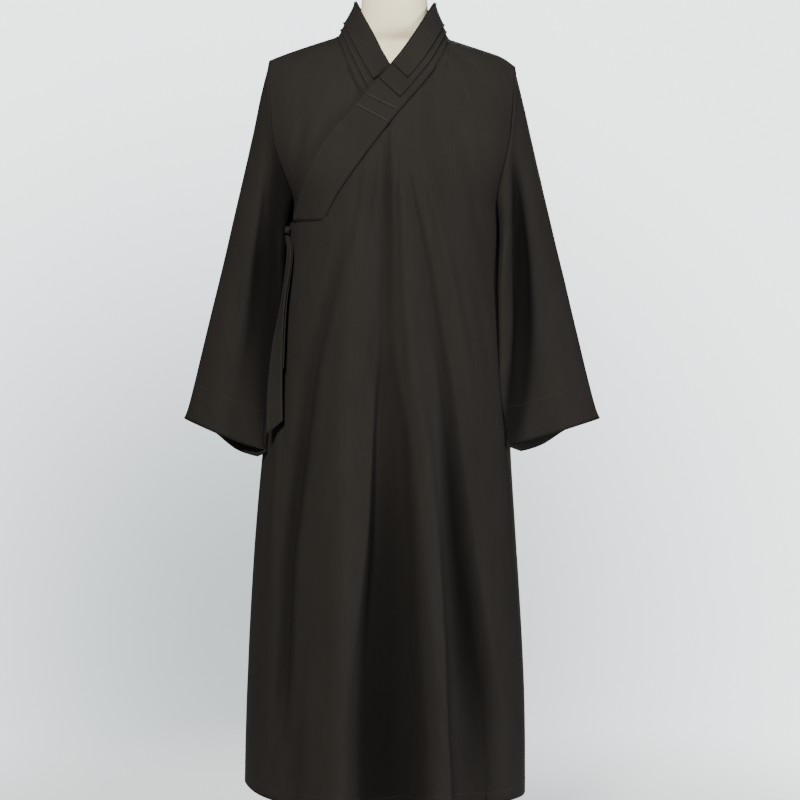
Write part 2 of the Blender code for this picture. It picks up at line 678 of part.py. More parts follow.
def build_collar(over, under, edges, cloth):
    """The band, the two strips laid on it that make the collar's stepped ridges, and two welts across it."""
    middle = len(under) - 1
    grid, shifts = [], []
    for index in range(-middle, len(over)):
        stations = over if index >= 0 else under
        seam, edge = stations[abs(index)]
        start = seam + (edge - seam).normalized() * 2 * SEAM
        bow = Vector((0, 0, 0))
        if abs(index) > NECK_STEPS:
            halfway = (seam + edge) / 2
            on_body = body_point(angle_at(halfway.x, halfway.z), halfway.z, -1)
            bow.y = (on_body.y - halfway.y) * eased((abs(index) - NECK_STEPS - 3) / 4)
        grid.append([start.lerp(edge, 1 - w) + bow * 4 * w * (1 - w) for w in ACROSS])
        shifts.append(seam_shift(index, stations, edges))
    normals = grid_normals(grid)
    for row, line in enumerate(grid):
        index = row - middle
        for i, p in enumerate(line):
            n = normals[row][i]
            sunk = layer_depth(p.x, p.z) * eased((-index - NECK_STEPS) / 2) if index < 0 else 0.0
            line[i] = p + n * BAND_LIFT + shifts[row] * ACROSS[i] - n * sunk * (1 - ACROSS[i])
    wall("collar_band", grid, moved(grid, normals, -BAND), cloth)

    def strip(name, first_across, height, under_end, over_end):
        """A strip between two places along the band, which may fall between its steps."""
        first, last = middle - int(under_end), middle + int(over_end) + 1
        base, directions = [], []
        for r in range(first, last + 1):
            line = list(grid[r][first_across:])
            if r == last:
                line = [a.lerp(b, over_end % 1) for a, b in zip(grid[r - 1][first_across:], line)]
            line[-1] = line[-1].lerp(line[-2], 0.04)
            base.append(line)
            directions.append(normals[r][first_across:])
        wall(name, moved(base, directions, height + STRIP), moved(base, directions, height), cloth)

    low = 0.0003
    strip("collar_layer_mid", 1, low, UNDER_STRIPS_END, MID_STRIP_END)
    strip("collar_layer_top", 2, low + STRIP + low, UNDER_STRIPS_END - 1, TOP_STRIP_END)

    def bar(name, seam_at, edge_at):
        """A narrow welt sewn across the band, from a place on its seam to a place on its free edge."""
        lines, directions = [], []
        for offset in (-WELT_HALF, 0.0, WELT_HALF):
            line, facing = [], []
            for i, w in enumerate(ACROSS):
                at = mix(edge_at, seam_at, w) + offset
                row = middle + int(at)
                line.append(grid[row][i].lerp(grid[row + 1][i], at % 1))
                facing.append(normals[row][i].lerp(normals[row + 1][i], at % 1).normalized())
            line[0] = line[0].lerp(line[1], 0.12)
            line[-1] = line[-1].lerp(line[-2], 0.12)
            lines.append(line)
            directions.append(facing)
        outer = moved(lines, directions, 0.0011)
        outer[1] = [p + n * 0.0004 for p, n in zip(outer[1], directions[1])]
        wall(name, outer, moved(lines, directions, low), cloth)

    bar("collar_bar_upper", *UPPER_WELT)
    bar("collar_bar_lower", *LOWER_WELT)


def ribbon(name, places, width, cloth):
    """A flat tie: each place is its middle, its turn from facing the front, and how wide it is there."""
    outer, inner = [], []
    for middle, turn, share in places:
        across = Vector((math.cos(turn), math.sin(turn), 0.0))
        facing = Vector((math.sin(turn), -math.cos(turn), 0.0))
        half = across * width * share / 2
        front, back = facing * TIE_THICKNESS / 2, facing * -TIE_THICKNESS / 2
        outer.append([middle - half + front, middle + front, middle + half + front])
        inner.append([middle - half + back, middle + back, middle + half + back])
    tip_drop = width * 0.8
    for grid in (outer, inner):
        for column, lowered in enumerate((1.0, 0.5, 0.0)):
            grid[-1][column].z -= tip_drop * lowered
    return wall(name, outer, inner, cloth)


def off_front(x, z, distance):
    """A point that far off the front's outside, over a place as it is seen from the front."""
    angle = angle_at(x, z)
    here = body_point(angle, z, -1)
    across = body_point(angle + 0.5, z, -1) - body_point(angle - 0.5, z, -1)
    up = body_point(angle, z + 0.001, -1) - body_point(angle, z - 0.001, -1)
    return here + across.cross(up).normalized() * distance


def build_ties(cloth):
    """The two closing ties, knotted at the end of the collar band, with their tails hanging."""
    knot_size = Vector((0.0075, 0.0060, 0.0085))
    knot = off_front(-0.1780, 1.1165, 0.0067)
    bm = bmesh.new()
    bmesh.ops.create_uvsphere(bm, u_segments=12, v_segments=8, radius=1.0)
    for v in bm.verts:
        waist = 1 - 0.18 * math.exp(-((v.co.z / 0.25) ** 2))
        v.co = knot + Vector((v.co.x * knot_size.x * waist, v.co.y * knot_size.y * waist, v.co.z * knot_size.z))
    finished("tie_knot", bm, cloth)

    tail_top = knot.z - knot_size.z - 0.0003
    Tail = namedtuple("Tail", "x y z turn share")
    front_rows = [
        Tail(knot.x - 0.0010, knot.y - 0.0010, tail_top, -66, 0.40),
        Tail(-0.1785, -0.0770, 1.0750, -62, 0.60),
        Tail(-0.1890, -0.0790, 0.9960, -72, 0.90),
        Tail(-0.1985, -0.0910, 0.9120, -49, 1.0),
        Tail(-0.2020, -0.1010, 0.8300, -26, 1.0),
        Tail(-0.2020, -0.1050, 0.7900, -20, 1.0),
    ]
    side_rows = [
        Tail(knot.x + 0.0010, knot.y + 0.0010, tail_top, -66, 0.35),
        Tail(-0.1755, -0.0755, 1.0750, -62, 0.50),
        Tail(-0.1860, -0.0775, 0.9960, -70, 0.80),
        Tail(-0.1940, -0.0880, 0.9200, -50, 0.90),
        Tail(-0.1960, -0.0930, 0.8800, -44, 0.90),
    ]
    for name, rows, steps in (("tie_front", front_rows, 14), ("tie_side", side_rows, 11)):
        keys = list(range(len(rows)))
        places = []
        for i in range(steps + 1):
            row = between(rows, keys, (len(rows) - 1) * i / steps)
            places.append((Vector((row.x, row.y, row.z)), math.radians(row.turn), row.share))
        ribbon(name, places, TIE_WIDTH, cloth)


def shoulder_reach(z):
    """How far out the form's shoulder goes at a height, to stay under the robe's shoulder line."""
    rounded = 0.1246 + (1.4515 - z - FORM_DROP) / SHOULDER_SLOPE
    return math.sqrt(max(rounded**2 - 0.04**2, 0.0))


def room_inside(x, z, side):
    """How far towards the front or back the form may go at a place, inside the robe."""
    raised = z + CLOTH + FORM_CLEAR
    if raised >= shoulder_z(x):
        return 0.0
    depth = abs(body_point(angle_at(x, raised), raised, side).y) - CLOTH - FORM_CLEAR
    return max(depth - (layer_depth(x, z) if side < 0 else 0.0), 0.0)


def build_form(jersey):
    """The dress form: one smooth torso with its neck, closed at both ends, and drawn in under the robe."""
    bm = bmesh.new()
    rings = []
    for r in FORM:
        under_robe = r.z < NECK_BASE_Z
        reach = shoulder_reach(r.z) if under_robe else r.half_width
        ring = []
        for i in range(FORM_SIDES):
            turn = 2 * math.pi * i / FORM_SIDES
            c, s = math.cos(turn), math.sin(turn)
            x = r.x + min(r.half_width, reach) * math.copysign(abs(c) ** (2 / r.power), c)
            y = r.y + r.half_depth * math.copysign(abs(s) ** (2 / r.power), s)
            if under_robe:
                y = max(min(y, room_inside(x, r.z, 1)), -room_inside(x, r.z, -1))
            ring.append(bm.verts.new((x, y, r.z)))
        rings.append(ring)
    for low, high in zip(rings, rings[1:]):
        for i in range(FORM_SIDES):
            j = (i + 1) % FORM_SIDES
            bm.faces.new((low[i], low[j], high[j], high[i]))
    bm.faces.new(rings[0][::-1])
    bm.faces.new(rings[-1])
    return finished("dress_form", bm, jersey)


def turned(name, profile, sides, finish):
    """A closed round piece on the Z axis from its (radius, height) profile, which starts and ends on the axis."""
    bm = bmesh.new()
    rings = []
    for radius, z in profile:
        if radius == 0:
            rings.append([bm.verts.new((0, 0, z))] * sides)
            continue
        turns = [2 * math.pi * i / sides for i in range(sides)]
        rings.append([bm.verts.new((radius * math.cos(t), radius * math.sin(t), z)) for t in turns])
    for low, high in zip(rings, rings[1:]):
        for i in range(sides):
            j = (i + 1) % sides
            corners = list(dict.fromkeys((low[i], low[j], high[j], high[i])))
            bm.faces.new(corners)
    return finished(name, bm, finish)


def build_stand(metal):
    """A round base plate with a hub, and the pole that carries the form."""
    hub, hub_top = 0.024, 0.050
    edge = 0.004
    base = [
        (0, 0),
        (BASE_RADIUS - edge, 0),
        (BASE_RADIUS, edge),
        (BASE_RADIUS - edge, BASE_HEIGHT - edge),
        (BASE_RADIUS * 0.6, BASE_HEIGHT),
        (hub + edge, BASE_HEIGHT + edge),
        (hub, BASE_HEIGHT + 2 * edge),
        (hub, hub_top - edge),
        (hub - edge, hub_top),
        (0, hub_top),
    ]
    turned("stand_base", base, 40, metal)
    seat = 0.0003
    foot, top = hub_top + seat, FORM[0].z - seat
    turned("stand_pole", [(0, foot), (POLE_RADIUS, foot), (POLE_RADIUS, top), (0, top)], 24, metal)


def main():
    for obj in list(bpy.data.objects):
        bpy.data.objects.remove(obj)
    cloth = material("robe_cloth", (0.030, 0.026, 0.022), 0.92)
    jersey = material("form_jersey", (0.72, 0.67, 0.55), 0.85)
    metal = material("stand_metal", (0.55, 0.55, 0.56), 0.35, 0.9)
    over = band_stations(OVER_BAND, OVER_STEPS)
    under = band_stations(UNDER_BAND, UNDER_STEPS)
    front_outer = build_front_outer(over, cloth)
    front_inner = build_front_inner(over, under, cloth)
    back = build_back(over, under, cloth)
    build_sleeve("sleeve_right", CUFF_RIGHT, front_inner, back, 0, cloth)
    build_sleeve("sleeve_left", CUFF_LEFT, front_outer, back, -1, cloth)
    edges = {"back": back[0][-1], "front_outer": front_outer[0][-1], "front_inner": front_inner[0][-1]}
    build_collar(over, under, edges, cloth)
    build_ties(cloth)
    build_form(jersey)
    build_stand(metal)


main()
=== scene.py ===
"""Metres, +Z up, the robe faces -Y and +X is the wearer's left. Every cloth piece is a thin shell on its own
solid's form, with its creases placed one by one. The form and its stand are smooth rigid pieces of the
solids' sizes.
"""

import math

import bmesh
import bpy
import numpy as np
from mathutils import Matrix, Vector, noise
from mathutils.bvhtree import BVHTree
from mathutils.kdtree import KDTree


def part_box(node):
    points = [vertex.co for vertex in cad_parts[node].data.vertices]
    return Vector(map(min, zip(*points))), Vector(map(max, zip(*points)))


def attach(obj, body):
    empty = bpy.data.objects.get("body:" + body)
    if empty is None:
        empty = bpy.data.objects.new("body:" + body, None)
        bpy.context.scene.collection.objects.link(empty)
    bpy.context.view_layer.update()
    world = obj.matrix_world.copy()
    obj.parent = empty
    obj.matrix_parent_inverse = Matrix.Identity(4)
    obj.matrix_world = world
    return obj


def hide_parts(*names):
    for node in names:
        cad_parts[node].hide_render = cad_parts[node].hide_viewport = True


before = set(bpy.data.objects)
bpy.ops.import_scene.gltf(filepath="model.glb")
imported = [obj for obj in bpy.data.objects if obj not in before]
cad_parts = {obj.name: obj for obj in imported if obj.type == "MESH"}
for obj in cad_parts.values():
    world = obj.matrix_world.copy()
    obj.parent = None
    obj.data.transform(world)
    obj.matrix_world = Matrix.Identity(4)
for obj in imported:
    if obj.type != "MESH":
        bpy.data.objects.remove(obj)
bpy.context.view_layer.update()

# Cloth thicknesses
CLOTH = .0016
BAND_CLOTH = .0022
STRIP_CLOTH = .0010
TIE_CLOTH = .0012

# Sewing: one stitch's length, the step to the next, its thickness, and how much of that it stands proud
STITCH_LENGTH = .0032
STITCH_STEP = .0046
STITCH_THICKNESS = .0006
STITCH_LIES = .3

# How far inside each kind of edge the stitches run
EDGE_SEWING = .006
SLIT_SEWING = .012
HEM_SEWING = .020
CUFF_SEWING = .064
LAYER_SEWING = .0030

# How a sleeve's inner edge lies over the robe's side: across, further across low down, forwards, and how wide
SLEEVE_OVERLAP = .007
LOW_SLEEVE_OVERLAP = .009
SLEEVE_PROUD = .014
SLEEVE_INNER_WIDTH = .016

# A sleeve's front, where its inner edge is read in rows, and how far forwards the lie starts and is full
SLEEVE_FRONT = .012
SLEEVE_ROW = .02
SLEEVE_FORWARD = (-.002, .020)

# How far the top collar layer's right end is carried on, over what length, and the straight stretch above it
LAYER_END_MOVE = .014
LAYER_END_REACH = .045
LAYER_STRAIGHT = (.030, .085)
RIGHT_OF_MIDDLE = -.005

# Seams: the front's groove beside the band, the rise over the armhole's turnings, and the widths of both
BAND_GROOVE = .0024
BAND_GROOVE_WIDTH = .0035
BAND_GROOVE_FADES = (1.128, 1.144)
SEAM_RISE = .0016
SEAM_RISE_WIDTH = .0045
SEAM_CREST = .6

# How far the under front lies back where the outer front covers it
COVERED_BY = .0012

# How far a sheet's edge is carried over its seam gap
JOINED = .0006
BAND_OVER_SEAM = .0014

# The depth that gives a fold its full painted shade, on the skirt's troughs and on smaller creases
DEEP_FOLD = .030
DEEP_SMALL_FOLD = .016

# A trough's painted shade: where across it begins in full, and how much of it is left at the far side
DARK_FROM = .38
FAR_SIDE = .40

# How far a fold's lower end hangs down for its depth
HEM_DROP = .40

# The height from which each of these starts, and how much lower it is full: the under front's cover,
# the folds' drop at the hem, and a sleeve's lie over the robe's side, then further over it
COVERED_BELOW = (1.18, .06)
HEM_DROP_BELOW = (.34, .20)
OVER_SIDE_BELOW = (1.300, .16)
FURTHER_OVER_BELOW = (1.000, .22)

# How far a sheet faces forwards or backwards where its creases, and its bands of painted shade, start and are
# full
CREASED_FACING = (.10, .45)
PAINTED_SHADE_FACING = (-.50, .20)

# A sheet's corners and its sewn lines' turns
CORNER = math.radians(28)
LINE_TURN = math.radians(40)
FAR_FROM_SEWING = .060
SAME_PLACE = 1e-5

# A merged copy: how near its joins are, how far apart a wall's sides are, and how flat and square its faces
SAME_POINT = 2e-5
WALL_REACH = .0035
FACING_BACK = -.7
FLAT_FACE = math.radians(50)
SQUARE_FACE = math.radians(70)

# The cloth's map round the body: how flat the round is, metres in a radian, and where the back's part lies
BODY_FLATNESS = .05
BODY_ROUND = .24
BACK_MAP_AT = 2

# How far a table's corners are rounded off, up and down
TABLE_ROUNDING = .022

# Soft creases seen from the front: height, place across, depth outwards, width to the left and to the right
FRONT_CREASES = {
    "long valley below the collar": (
        (1.300, -.010, 0, .007, .004),
        (1.262, -.010, -.0050, .008, .004),
        (1.180, -.010, -.0085, .010, .005),
        (1.066, -.012, -.0080, .012, .008),
        (.960, -.014, -.0090, .012, .012),
        (.860, -.018, -.0060, .012, .014),
        (.780, -.022, 0, .012, .014),
    ),
    "ridge beside it": (
        (1.270, .012, 0, .006, .010),
        (1.200, .013, .0042, .006, .012),
        (.990, .020, .0050, .010, .014),
        (.850, .036, .0060, .014, .013),
        (.750, .054, .0080, .018, .012),
        (.600, .068, .0110, .022, .009),
        (.400, .078, .0140, .026, .007),
        (.225, .082, .0160, .030, .005),
        (.140, .084, .0160, .030, .005),
    ),
    "right valley": (
        (1.270, .006, 0, .008, .006),
        (1.222, .018, -.0024, .009, .006),
        (1.160, .032, -.0048, .010, .007),
        (1.094, .048, -.0066, .011, .007),
        (.985, .066, -.0070, .012, .008),
        (.900, .078, -.0050, .013, .008),
        (.820, .086, 0, .015, .010),
    ),
    "light ridge past it": (
        (1.230, .046, 0, .008, .008),
        (1.170, .062, .0034, .006, .010),
        (1.060, .090, .0040, .007, .012),
        (.900, .122, .0036, .009, .014),
        (.760, .138, 0, .012, .014),
    ),
    "shoulder fold": (
        (1.330, .098, 0, .014, .012),
        (1.260, .114, -.0024, .014, .011),
        (1.160, .138, -.0042, .014, .011),
        (1.050, .158, -.0026, .014, .011),
        (.960, .168, 0, .014, .012),
    ),
    "fan fold one": (
        (1.270, .040, 0, .009, .008),
        (1.180, .072, -.0024, .011, .008),
        (1.080, .102, -.0036, .012, .008),
        (.960, .126, -.0028, .012, .008),
        (.820, .146, 0, .012, .010),
    ),
    "fan fold two": (
        (1.230, .082, 0, .012, .010),
        (1.060, .130, -.0026, .014, .010),
        (.900, .162, -.0030, .014, .010),
        (.760, .172, 0, .014, .012),
    ),
    "fold from the seam, short": (
        (1.262, -.026, 0, .005, .004),
        (1.225, -.030, -.0026, .006, .004),
        (1.150, -.038, -.0030, .007, .005),
        (1.080, -.048, 0, .008, .006),
    ),
    "second short fold": (
        (1.236, -.050, 0, .005, .004),
        (1.200, -.056, -.0022, .006, .004),
        (1.120, -.070, -.0024, .008, .006),
        (1.040, -.084, 0, .008, .008),
    ),
    "light lobe": (
        (1.120, -.062, 0, .020, .020),
        (.960, -.074, .0050, .026, .018),
        (.740, -.080, .0080, .030, .018),
        (.500, -.082, .0100, .034, .018),
        (.300, -.090, .0100, .036, .018),
        (.140, -.094, .0090, .036, .018),
    ),
    "left valley": (
        (1.140, -.078, 0, .012, .008),
        (1.010, -.104, -.0070, .014, .010),
        (.880, -.138, -.0120, .016, .012),
        (.733, -.159, -.0180, .013, .014),
        (.560, -.180, -.0180, .011, .013),
        (.380, -.187, -.0170, .011, .013),
        (.240, -.194, -.0060, .014, .014),
        (.160, -.196, 0, .014, .014),
    ),
    "band by the slit": (
        (.880, -.190, 0, .006, .006),
        (.740, -.196, .0046, .007, .007),
        (.600, -.204, .0040, .007, .008),
        (.480, -.208, 0, .007, .008),
    ),
    "lower left dent": (
        (.500, -.146, 0, .014, .014),
        (.380, -.154, -.0044, .018, .012),
        (.230, -.164, -.0056, .020, .012),
        (.140, -.168, -.0050, .020, .012),
    ),
    "soft rise over the hem": (
        (.330, -.206, 0, .014, .014),
        (.230, -.190, .0040, .014, .012),
        (.140, -.184, .0054, .014, .012),
    ),
    "waist dent": (
        (.980, -.038, 0, .008, .008),
        (.905, -.034, -.0050, .009, .008),
        (.820, -.030, 0, .009, .008),
    ),
}

# Waviness between the creases: waves in a metre across and down, and how strong they are
WAVES = ((14, 4.5, 1), (38, 11, .35))

# Wide flat troughs: height, where the left wall starts, where the right slope ends, depth, both widths
FRONT_TROUGHS = {
    "long trough": (
        (.940, -.028, .002, 0, .014, .014),
        (.860, -.032, .012, -.0080, .014, .018),
        (.746, -.040, .034, -.0180, .014, .028),
        (.600, -.047, .048, -.0290, .016, .040),
        (.490, -.062, .060, -.0360, .034, .058),
        (.400, -.074, .070, -.0380, .048, .072),
        (.300, -.082, .080, -.0400, .058, .084),
        (.225, -.086, .086, -.0400, .062, .088),
        (.140, -.088, .090, -.0380, .064, .090),
    ),
    "right trough": (
        (.960, .060, .086, 0, .012, .014),
        (.874, .070, .100, -.0080, .014, .014),
        (.729, .074, .120, -.0190, .024, .020),
        (.600, .076, .138, -.0290, .034, .024),
        (.490, .080, .156, -.0340, .044, .028),
        (.400, .083, .172, -.0350, .054, .032),
        (.287, .086, .194, -.0300, .066, .036),
        (.150, .088, .200, -.0190, .070, .044),
    ),
}

# Where a fold's lip hangs sideways over its trough: height, place across, how far to the wearer's left, width
FRONT_LIPS = {
    "lip of the long valley": (
        (.860, -.040, 0, .012),
        (.720, -.048, .0060, .012),
        (.560, -.054, .0040, .014),
        (.400, -.066, 0, .016),
    ),
    "lip of the ridge": (
        (.620, .040, 0, .010),
        (.400, .058, .0030, .010),
        (.140, .084, .0040, .010),
    ),
}

UNDERLAP_CREASES = {
    "underlap valley": (
        (1.330, -.150, 0, .010, .012),
        (1.270, -.160, -.0034, .010, .014),
        (1.180, -.172, -.0040, .010, .014),
        (1.100, -.178, 0, .010, .014),
    ),
    "short fold above the tie": (
        (1.300, -.118, 0, .008, .010),
        (1.235, -.132, -.0022, .008, .010),
        (1.160, -.146, 0, .010, .012),
    ),
}

BACK_CREASES = {
    "middle valley": (
        (1.200, .004, 0, .012, .012),
        (1.080, .006, -.0030, .014, .014),
        (.820, .012, -.0060, .018, .020),
        (.520, .018, -.0100, .022, .020),
        (.140, .026, -.0120, .026, .022),
    ),
    "left ridge": (
        (1.130, .060, 0, .014, .012),
        (.860, .082, .0040, .018, .014),
        (.520, .104, .0080, .022, .014),
        (.140, .122, .0090, .026, .014),
    ),
    "left valley": (
        (1.160, .110, 0, .010, .010),
        (.980, .134, -.0040, .012, .014),
        (.640, .156, -.0070, .014, .016),
        (.300, .170, -.0050, .016, .018),
        (.140, .176, -.0030, .016, .018),
    ),
    "right valley": (
        (1.190, -.066, 0, .010, .010),
        (.960, -.082, -.0050, .013, .015),
        (.600, -.104, -.0080, .016, .018),
        (.140, -.126, -.0090, .020, .020),
    ),
    "right ridge": (
        (1.060, -.122, 0, .012, .012),
        (.760, -.146, .0040, .016, .014),
        (.420, -.170, .0050, .018, .014),
        (.140, -.180, .0040, .018, .016),
    ),
    "shoulder blade dent": (
        (1.340, .060, 0, .016, .016),
        (1.270, .072, -.0024, .018, .018),
        (1.190, .086, 0, .018, .018),
    ),
}

RIGHT_SLEEVE_CREASES = {
    "inner valley": (
        (1.260, -.212, 0, .010, .010),
        (1.180, -.217, -.0080, .014, .012),
        (1.050, -.224, -.0130, .019, .015),
        (.930, -.229, -.0140, .022, .017),
        (.790, -.231, -.0100, .020, .016),
        (.740, -.231, -.0050, .018, .014),
    ),
    "fold over the elbow": (
        (1.080, -.262, 0, .012, .010),
        (.990, -.274, -.0020, .014, .010),
        (.880, -.292, 0, .014, .010),
    ),
    "soft middle ridge": (
        (1.220, -.246, 0, .012, .014),
        (1.060, -.272, .0020, .016, .016),
        (.880, -.300, .0026, .018, .020),
        (.760, -.312, .0016, .020, .020),
    ),
}

LEFT_SLEEVE_CREASES = {
    "inner valley": (
        (1.250, .207, 0, .006, .008),
        (1.170, .212, -.0080, .007, .011),
        (1.080, .217, -.0130, .008, .014),
        (.960, .220, -.0150, .009, .016),
        (.850, .217, -.0120, .009, .016),
        (.790, .215, -.0050, .010, .015),
        (.740, .214, -.0010, .010, .015),
    ),
    "soft middle ridge": (
        (1.260, .222, 0, .010, .010),
        (1.090, .254, .0022, .014, .014),
        (.900, .282, .0026, .018, .018),
        (.760, .300, .0016, .020, .020),
    ),
    "fold over the elbow": (
        (1.100, .246, 0, .010, .012),
        (1.000, .262, -.0018, .010, .014),
        (.900, .280, 0, .010, .014),
    ),
}

# Bands of painted shade down the right trough and beside the body under the arms: height, place across,
# share, width to the left and to the right
PAINTED_FOLD_SHADE = {
    "front_outer": {
        "line of the right trough": (
            (.900, .082, .00, .010, .012),
            (.825, .088, -.25, .010, .014),
            (.717, .097, -.40, .012, .014),
            (.609, .107, -.45, .014, .016),
            (.501, .122, -.50, .015, .018),
            (.393, .131, -.50, .018, .020),
            (.312, .142, -.30, .022, .022),
            (.200, .148, .00, .024, .024),
        ),
    },
    "sleeve_right": {
        "beside the body": (
            (1.330, -.210, -.10, .010, .016),
            (1.250, -.199, -.80, .014, .022),
            (1.173, -.190, -1.60, .018, .030),
            (1.124, -.187, -2.00, .022, .030),
            (1.065, -.194, -2.00, .024, .030),
            (.984, -.206, -1.50, .022, .030),
            (.903, -.214, -1.10, .020, .030),
            (.822, -.219, -.90, .018, .026),
            (.740, -.224, -.60, .016, .020),
        ),
    },
    "sleeve_left": {
        "beside the body": (
            (1.250, .206, -.20, .006, .010),
            (1.170, .211, -1.20, .007, .013),
            (1.080, .216, -1.70, .008, .015),
            (.960, .219, -1.70, .009, .017),
            (.820, .214, -1.30, .009, .017),
            (.740, .210, -.80, .010, .015),
        ),
    },
}

BACK_SLEEVE_CREASES = {
    "elbow dent": (
        (1.140, .236, 0, .012, .012),
        (1.040, .246, -.0030, .014, .014),
        (.930, .262, 0, .016, .016),
    ),
    "elbow dent behind the right": (
        (1.120, -.244, 0, .012, .012),
        (1.020, -.254, -.0030, .014, .014),
        (.920, -.270, 0, .016, .016),
    ),
}


def new_object(name, mesh):
    """An object of its own at the origin, in the scene."""
    piece = bpy.data.objects.new(name, mesh)
    bpy.context.scene.collection.objects.link(piece)
    return piece


def only(piece):
    """Selects one object and nothing else."""
    bpy.ops.object.select_all(action="DESELECT")
    piece.select_set(True)
    bpy.context.view_layer.objects.active = piece


def apply_all(piece):
    """Applies every modifier on a piece, in order."""
    only(piece)
    for modifier in list(piece.modifiers):
        bpy.ops.object.modifier_apply(modifier=modifier.name)


def smooth(piece):
    """Shades every face of a piece smooth."""
    piece.data.polygons.foreach_set("use_smooth", [True] * len(piece.data.polygons))
    piece.data.update()


def opened(mesh):
    """A copy of a mesh, opened for editing."""
    shell = bmesh.new()
    shell.from_mesh(mesh)
    return shell


def join_quads(shell):
    """Joins a shell's triangles in pairs, where they make a flat and fairly square face."""
    bmesh.ops.join_triangles(
        shell, faces=shell.faces, angle_face_threshold=FLAT_FACE, angle_shape_threshold=SQUARE_FACE
    )


def finer_piece(name, shell, levels, corners="ALL"):
    """A new piece made from an opened mesh, divided into finer and rounder faces."""
    mesh = bpy.data.meshes.new(name)
    shell.to_mesh(mesh)
    shell.free()
    piece = new_object(name, mesh)
    finer = piece.modifiers.new("finer", "SUBSURF")
    finer.levels = levels
    finer.render_levels = levels
    finer.boundary_smooth = corners
    apply_all(piece)
    return piece


def soft_copy(node, name, levels):
    """A closed solid's copy with its corners softened."""
    shell = opened(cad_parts[node].data)
    bmesh.ops.remove_doubles(shell, verts=shell.verts, dist=SAME_POINT)
    join_quads(shell)
    piece = finer_piece(name, shell, levels)
    smooth(piece)
    return piece


def islands(shell):
    """The groups of faces that hang together."""
    left = set(shell.faces)
    groups = []
    while left:
        group = [left.pop()]
        for face in group:
            for edge in face.edges:
                for other in edge.link_faces:
                    if other in left:
                        left.discard(other)
                        group.append(other)
        groups.append(group)
    return groups


def facing_out(group):
    """How much of a group faces away from the upright axis."""
    total = 0
    for face in group:
        middle = face.calc_center_median()
        total += face.calc_area() * face.normal.dot(Vector((middle.x, middle.y, 0)).normalized())
    return total


def hold_corners(shell):
    """Keeps the cut corners of a sheet's edge sharp."""
    held = shell.verts.layers.float.new("crease_vert")
    for point in shell.verts:
        rim = [edge for edge in point.link_edges if edge.is_boundary]
        if len(rim) == 2:
            ways = [(edge.other_vert(point).co - point.co).normalized() for edge in rim]
            if ways[0].angle(-ways[1]) > CORNER:
                point[held] = 1


def outer_sheet(node, name, levels, tube=False):
    """The outer face of a cloth solid as one open sheet, made fine enough for creases."""
    shell = opened(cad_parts[node].data)
    bmesh.ops.remove_doubles(shell, verts=shell.verts, dist=SAME_POINT)
    shell.normal_update()
    tree = BVHTree.FromBMesh(shell)
    rims = []
    for face in shell.faces:
        start = face.calc_center_median() - face.normal * SAME_POINT
        far = tree.ray_cast(start, -face.normal, WALL_REACH)
        if far[0] is None or far[1].dot(face.normal) > FACING_BACK:
            rims.append(face)
    bmesh.ops.delete(shell, geom=rims, context="FACES_ONLY")
    groups = sorted(islands(shell), key=len, reverse=True)[:2]
    if tube:
        wanted = max(groups, key=lambda group: sum(face.calc_area() for face in group))
    else:
        wanted = max(groups, key=facing_out)
    wanted = set(wanted)
    bmesh.ops.delete(shell, geom=[face for face in shell.faces if face not in wanted], context="FACES")
    loose = [point for point in shell.verts if not point.link_faces]
    bmesh.ops.delete(shell, geom=loose, context="VERTS")
    join_quads(shell)
    hold_corners(shell)
    return finer_piece(name, shell, levels, "PRESERVE_CORNERS")


def points_of(piece):
    """The points of a piece's mesh as an array."""
    flat = np.empty(len(piece.data.vertices) * 3)
    piece.data.vertices.foreach_get("co", flat)
    return flat.reshape(-1, 3)


def normals_of(piece):
    """The normals at a piece's points as an array."""
    flat = np.empty(len(piece.data.vertices) * 3)
    piece.data.vertex_normals.foreach_get("vector", flat)
    return flat.reshape(-1, 3)


def set_points(piece, points):
    """Writes an array of points back to a piece's mesh."""
    piece.data.vertices.foreach_set("co", points.reshape(-1))
    piece.data.update()


def keep(piece, name, values):
    """Stores a value at every point of a piece, for its material."""
    attribute = piece.data.attributes.get(name) or piece.data.attributes.new(name, "FLOAT", "POINT")
    attribute.data.foreach_set("value", values)


def columns(heights, rows):
    """A table's columns read at many heights, with their corners rounded off."""
    table = np.array(sorted(rows))
    steps = [TABLE_ROUNDING * share for share in (-1, -.5, 0, .5, 1)]
    for values in table.T[1:]:
        yield sum(np.interp(heights + step, table[:, 0], values) for step in steps) / len(steps)


def crease_depth(points, creases):
    """How far each point moves along its normal for a table of creases."""
    depth = np.zeros(len(points))
    for rows in creases.values():
        across, deep, left, right = columns(points[:, 2], rows)
        away = points[:, 0] - across
        width = np.where(away < 0, left, right)
        depth += deep * np.exp(-(away / width) ** 2)
    return depth


def trough_depths(points, troughs):
    """How far each point moves for a table of flat troughs, and the painted shade that their colour takes
    from it.
    """
    depth = np.zeros(len(points))
    colour = np.zeros(len(points))
    for rows in troughs.values():
        start, end, deep, wall, slope = columns(points[:, 2], rows)
        down = eased_between((points[:, 0] - start) / wall, 0, 1)
        up = eased_between((end - points[:, 0]) / slope, 0, 1)
        across = np.clip((points[:, 0] - start) / (end - start), 0, 1)
        here = deep * down * up
        depth += here
        colour += here * eased_between(across, 0, DARK_FROM) * (1 + (FAR_SIDE - 1) * across)
    return depth, colour


def lip_shift(points, lips):
    """How far each point moves to the wearer's left for a table of lips."""
    shift = np.zeros(len(points))
    for rows in lips.values():
        across, far, width = columns(points[:, 2], rows)
        shift += far * np.exp(-((points[:, 0] - across) / width) ** 2)
    return shift


def unevenness(points, strength, seed):
    """The slight waviness that hanging cloth has between its creases, longer down than across."""
    moves = np.zeros(len(points))
    for index, (x, y, z) in enumerate(points):
        for across, down, share in WAVES:
            moves[index] += share * noise.noise(Vector((x * across + seed, y * across, z * down)))
    return moves * strength


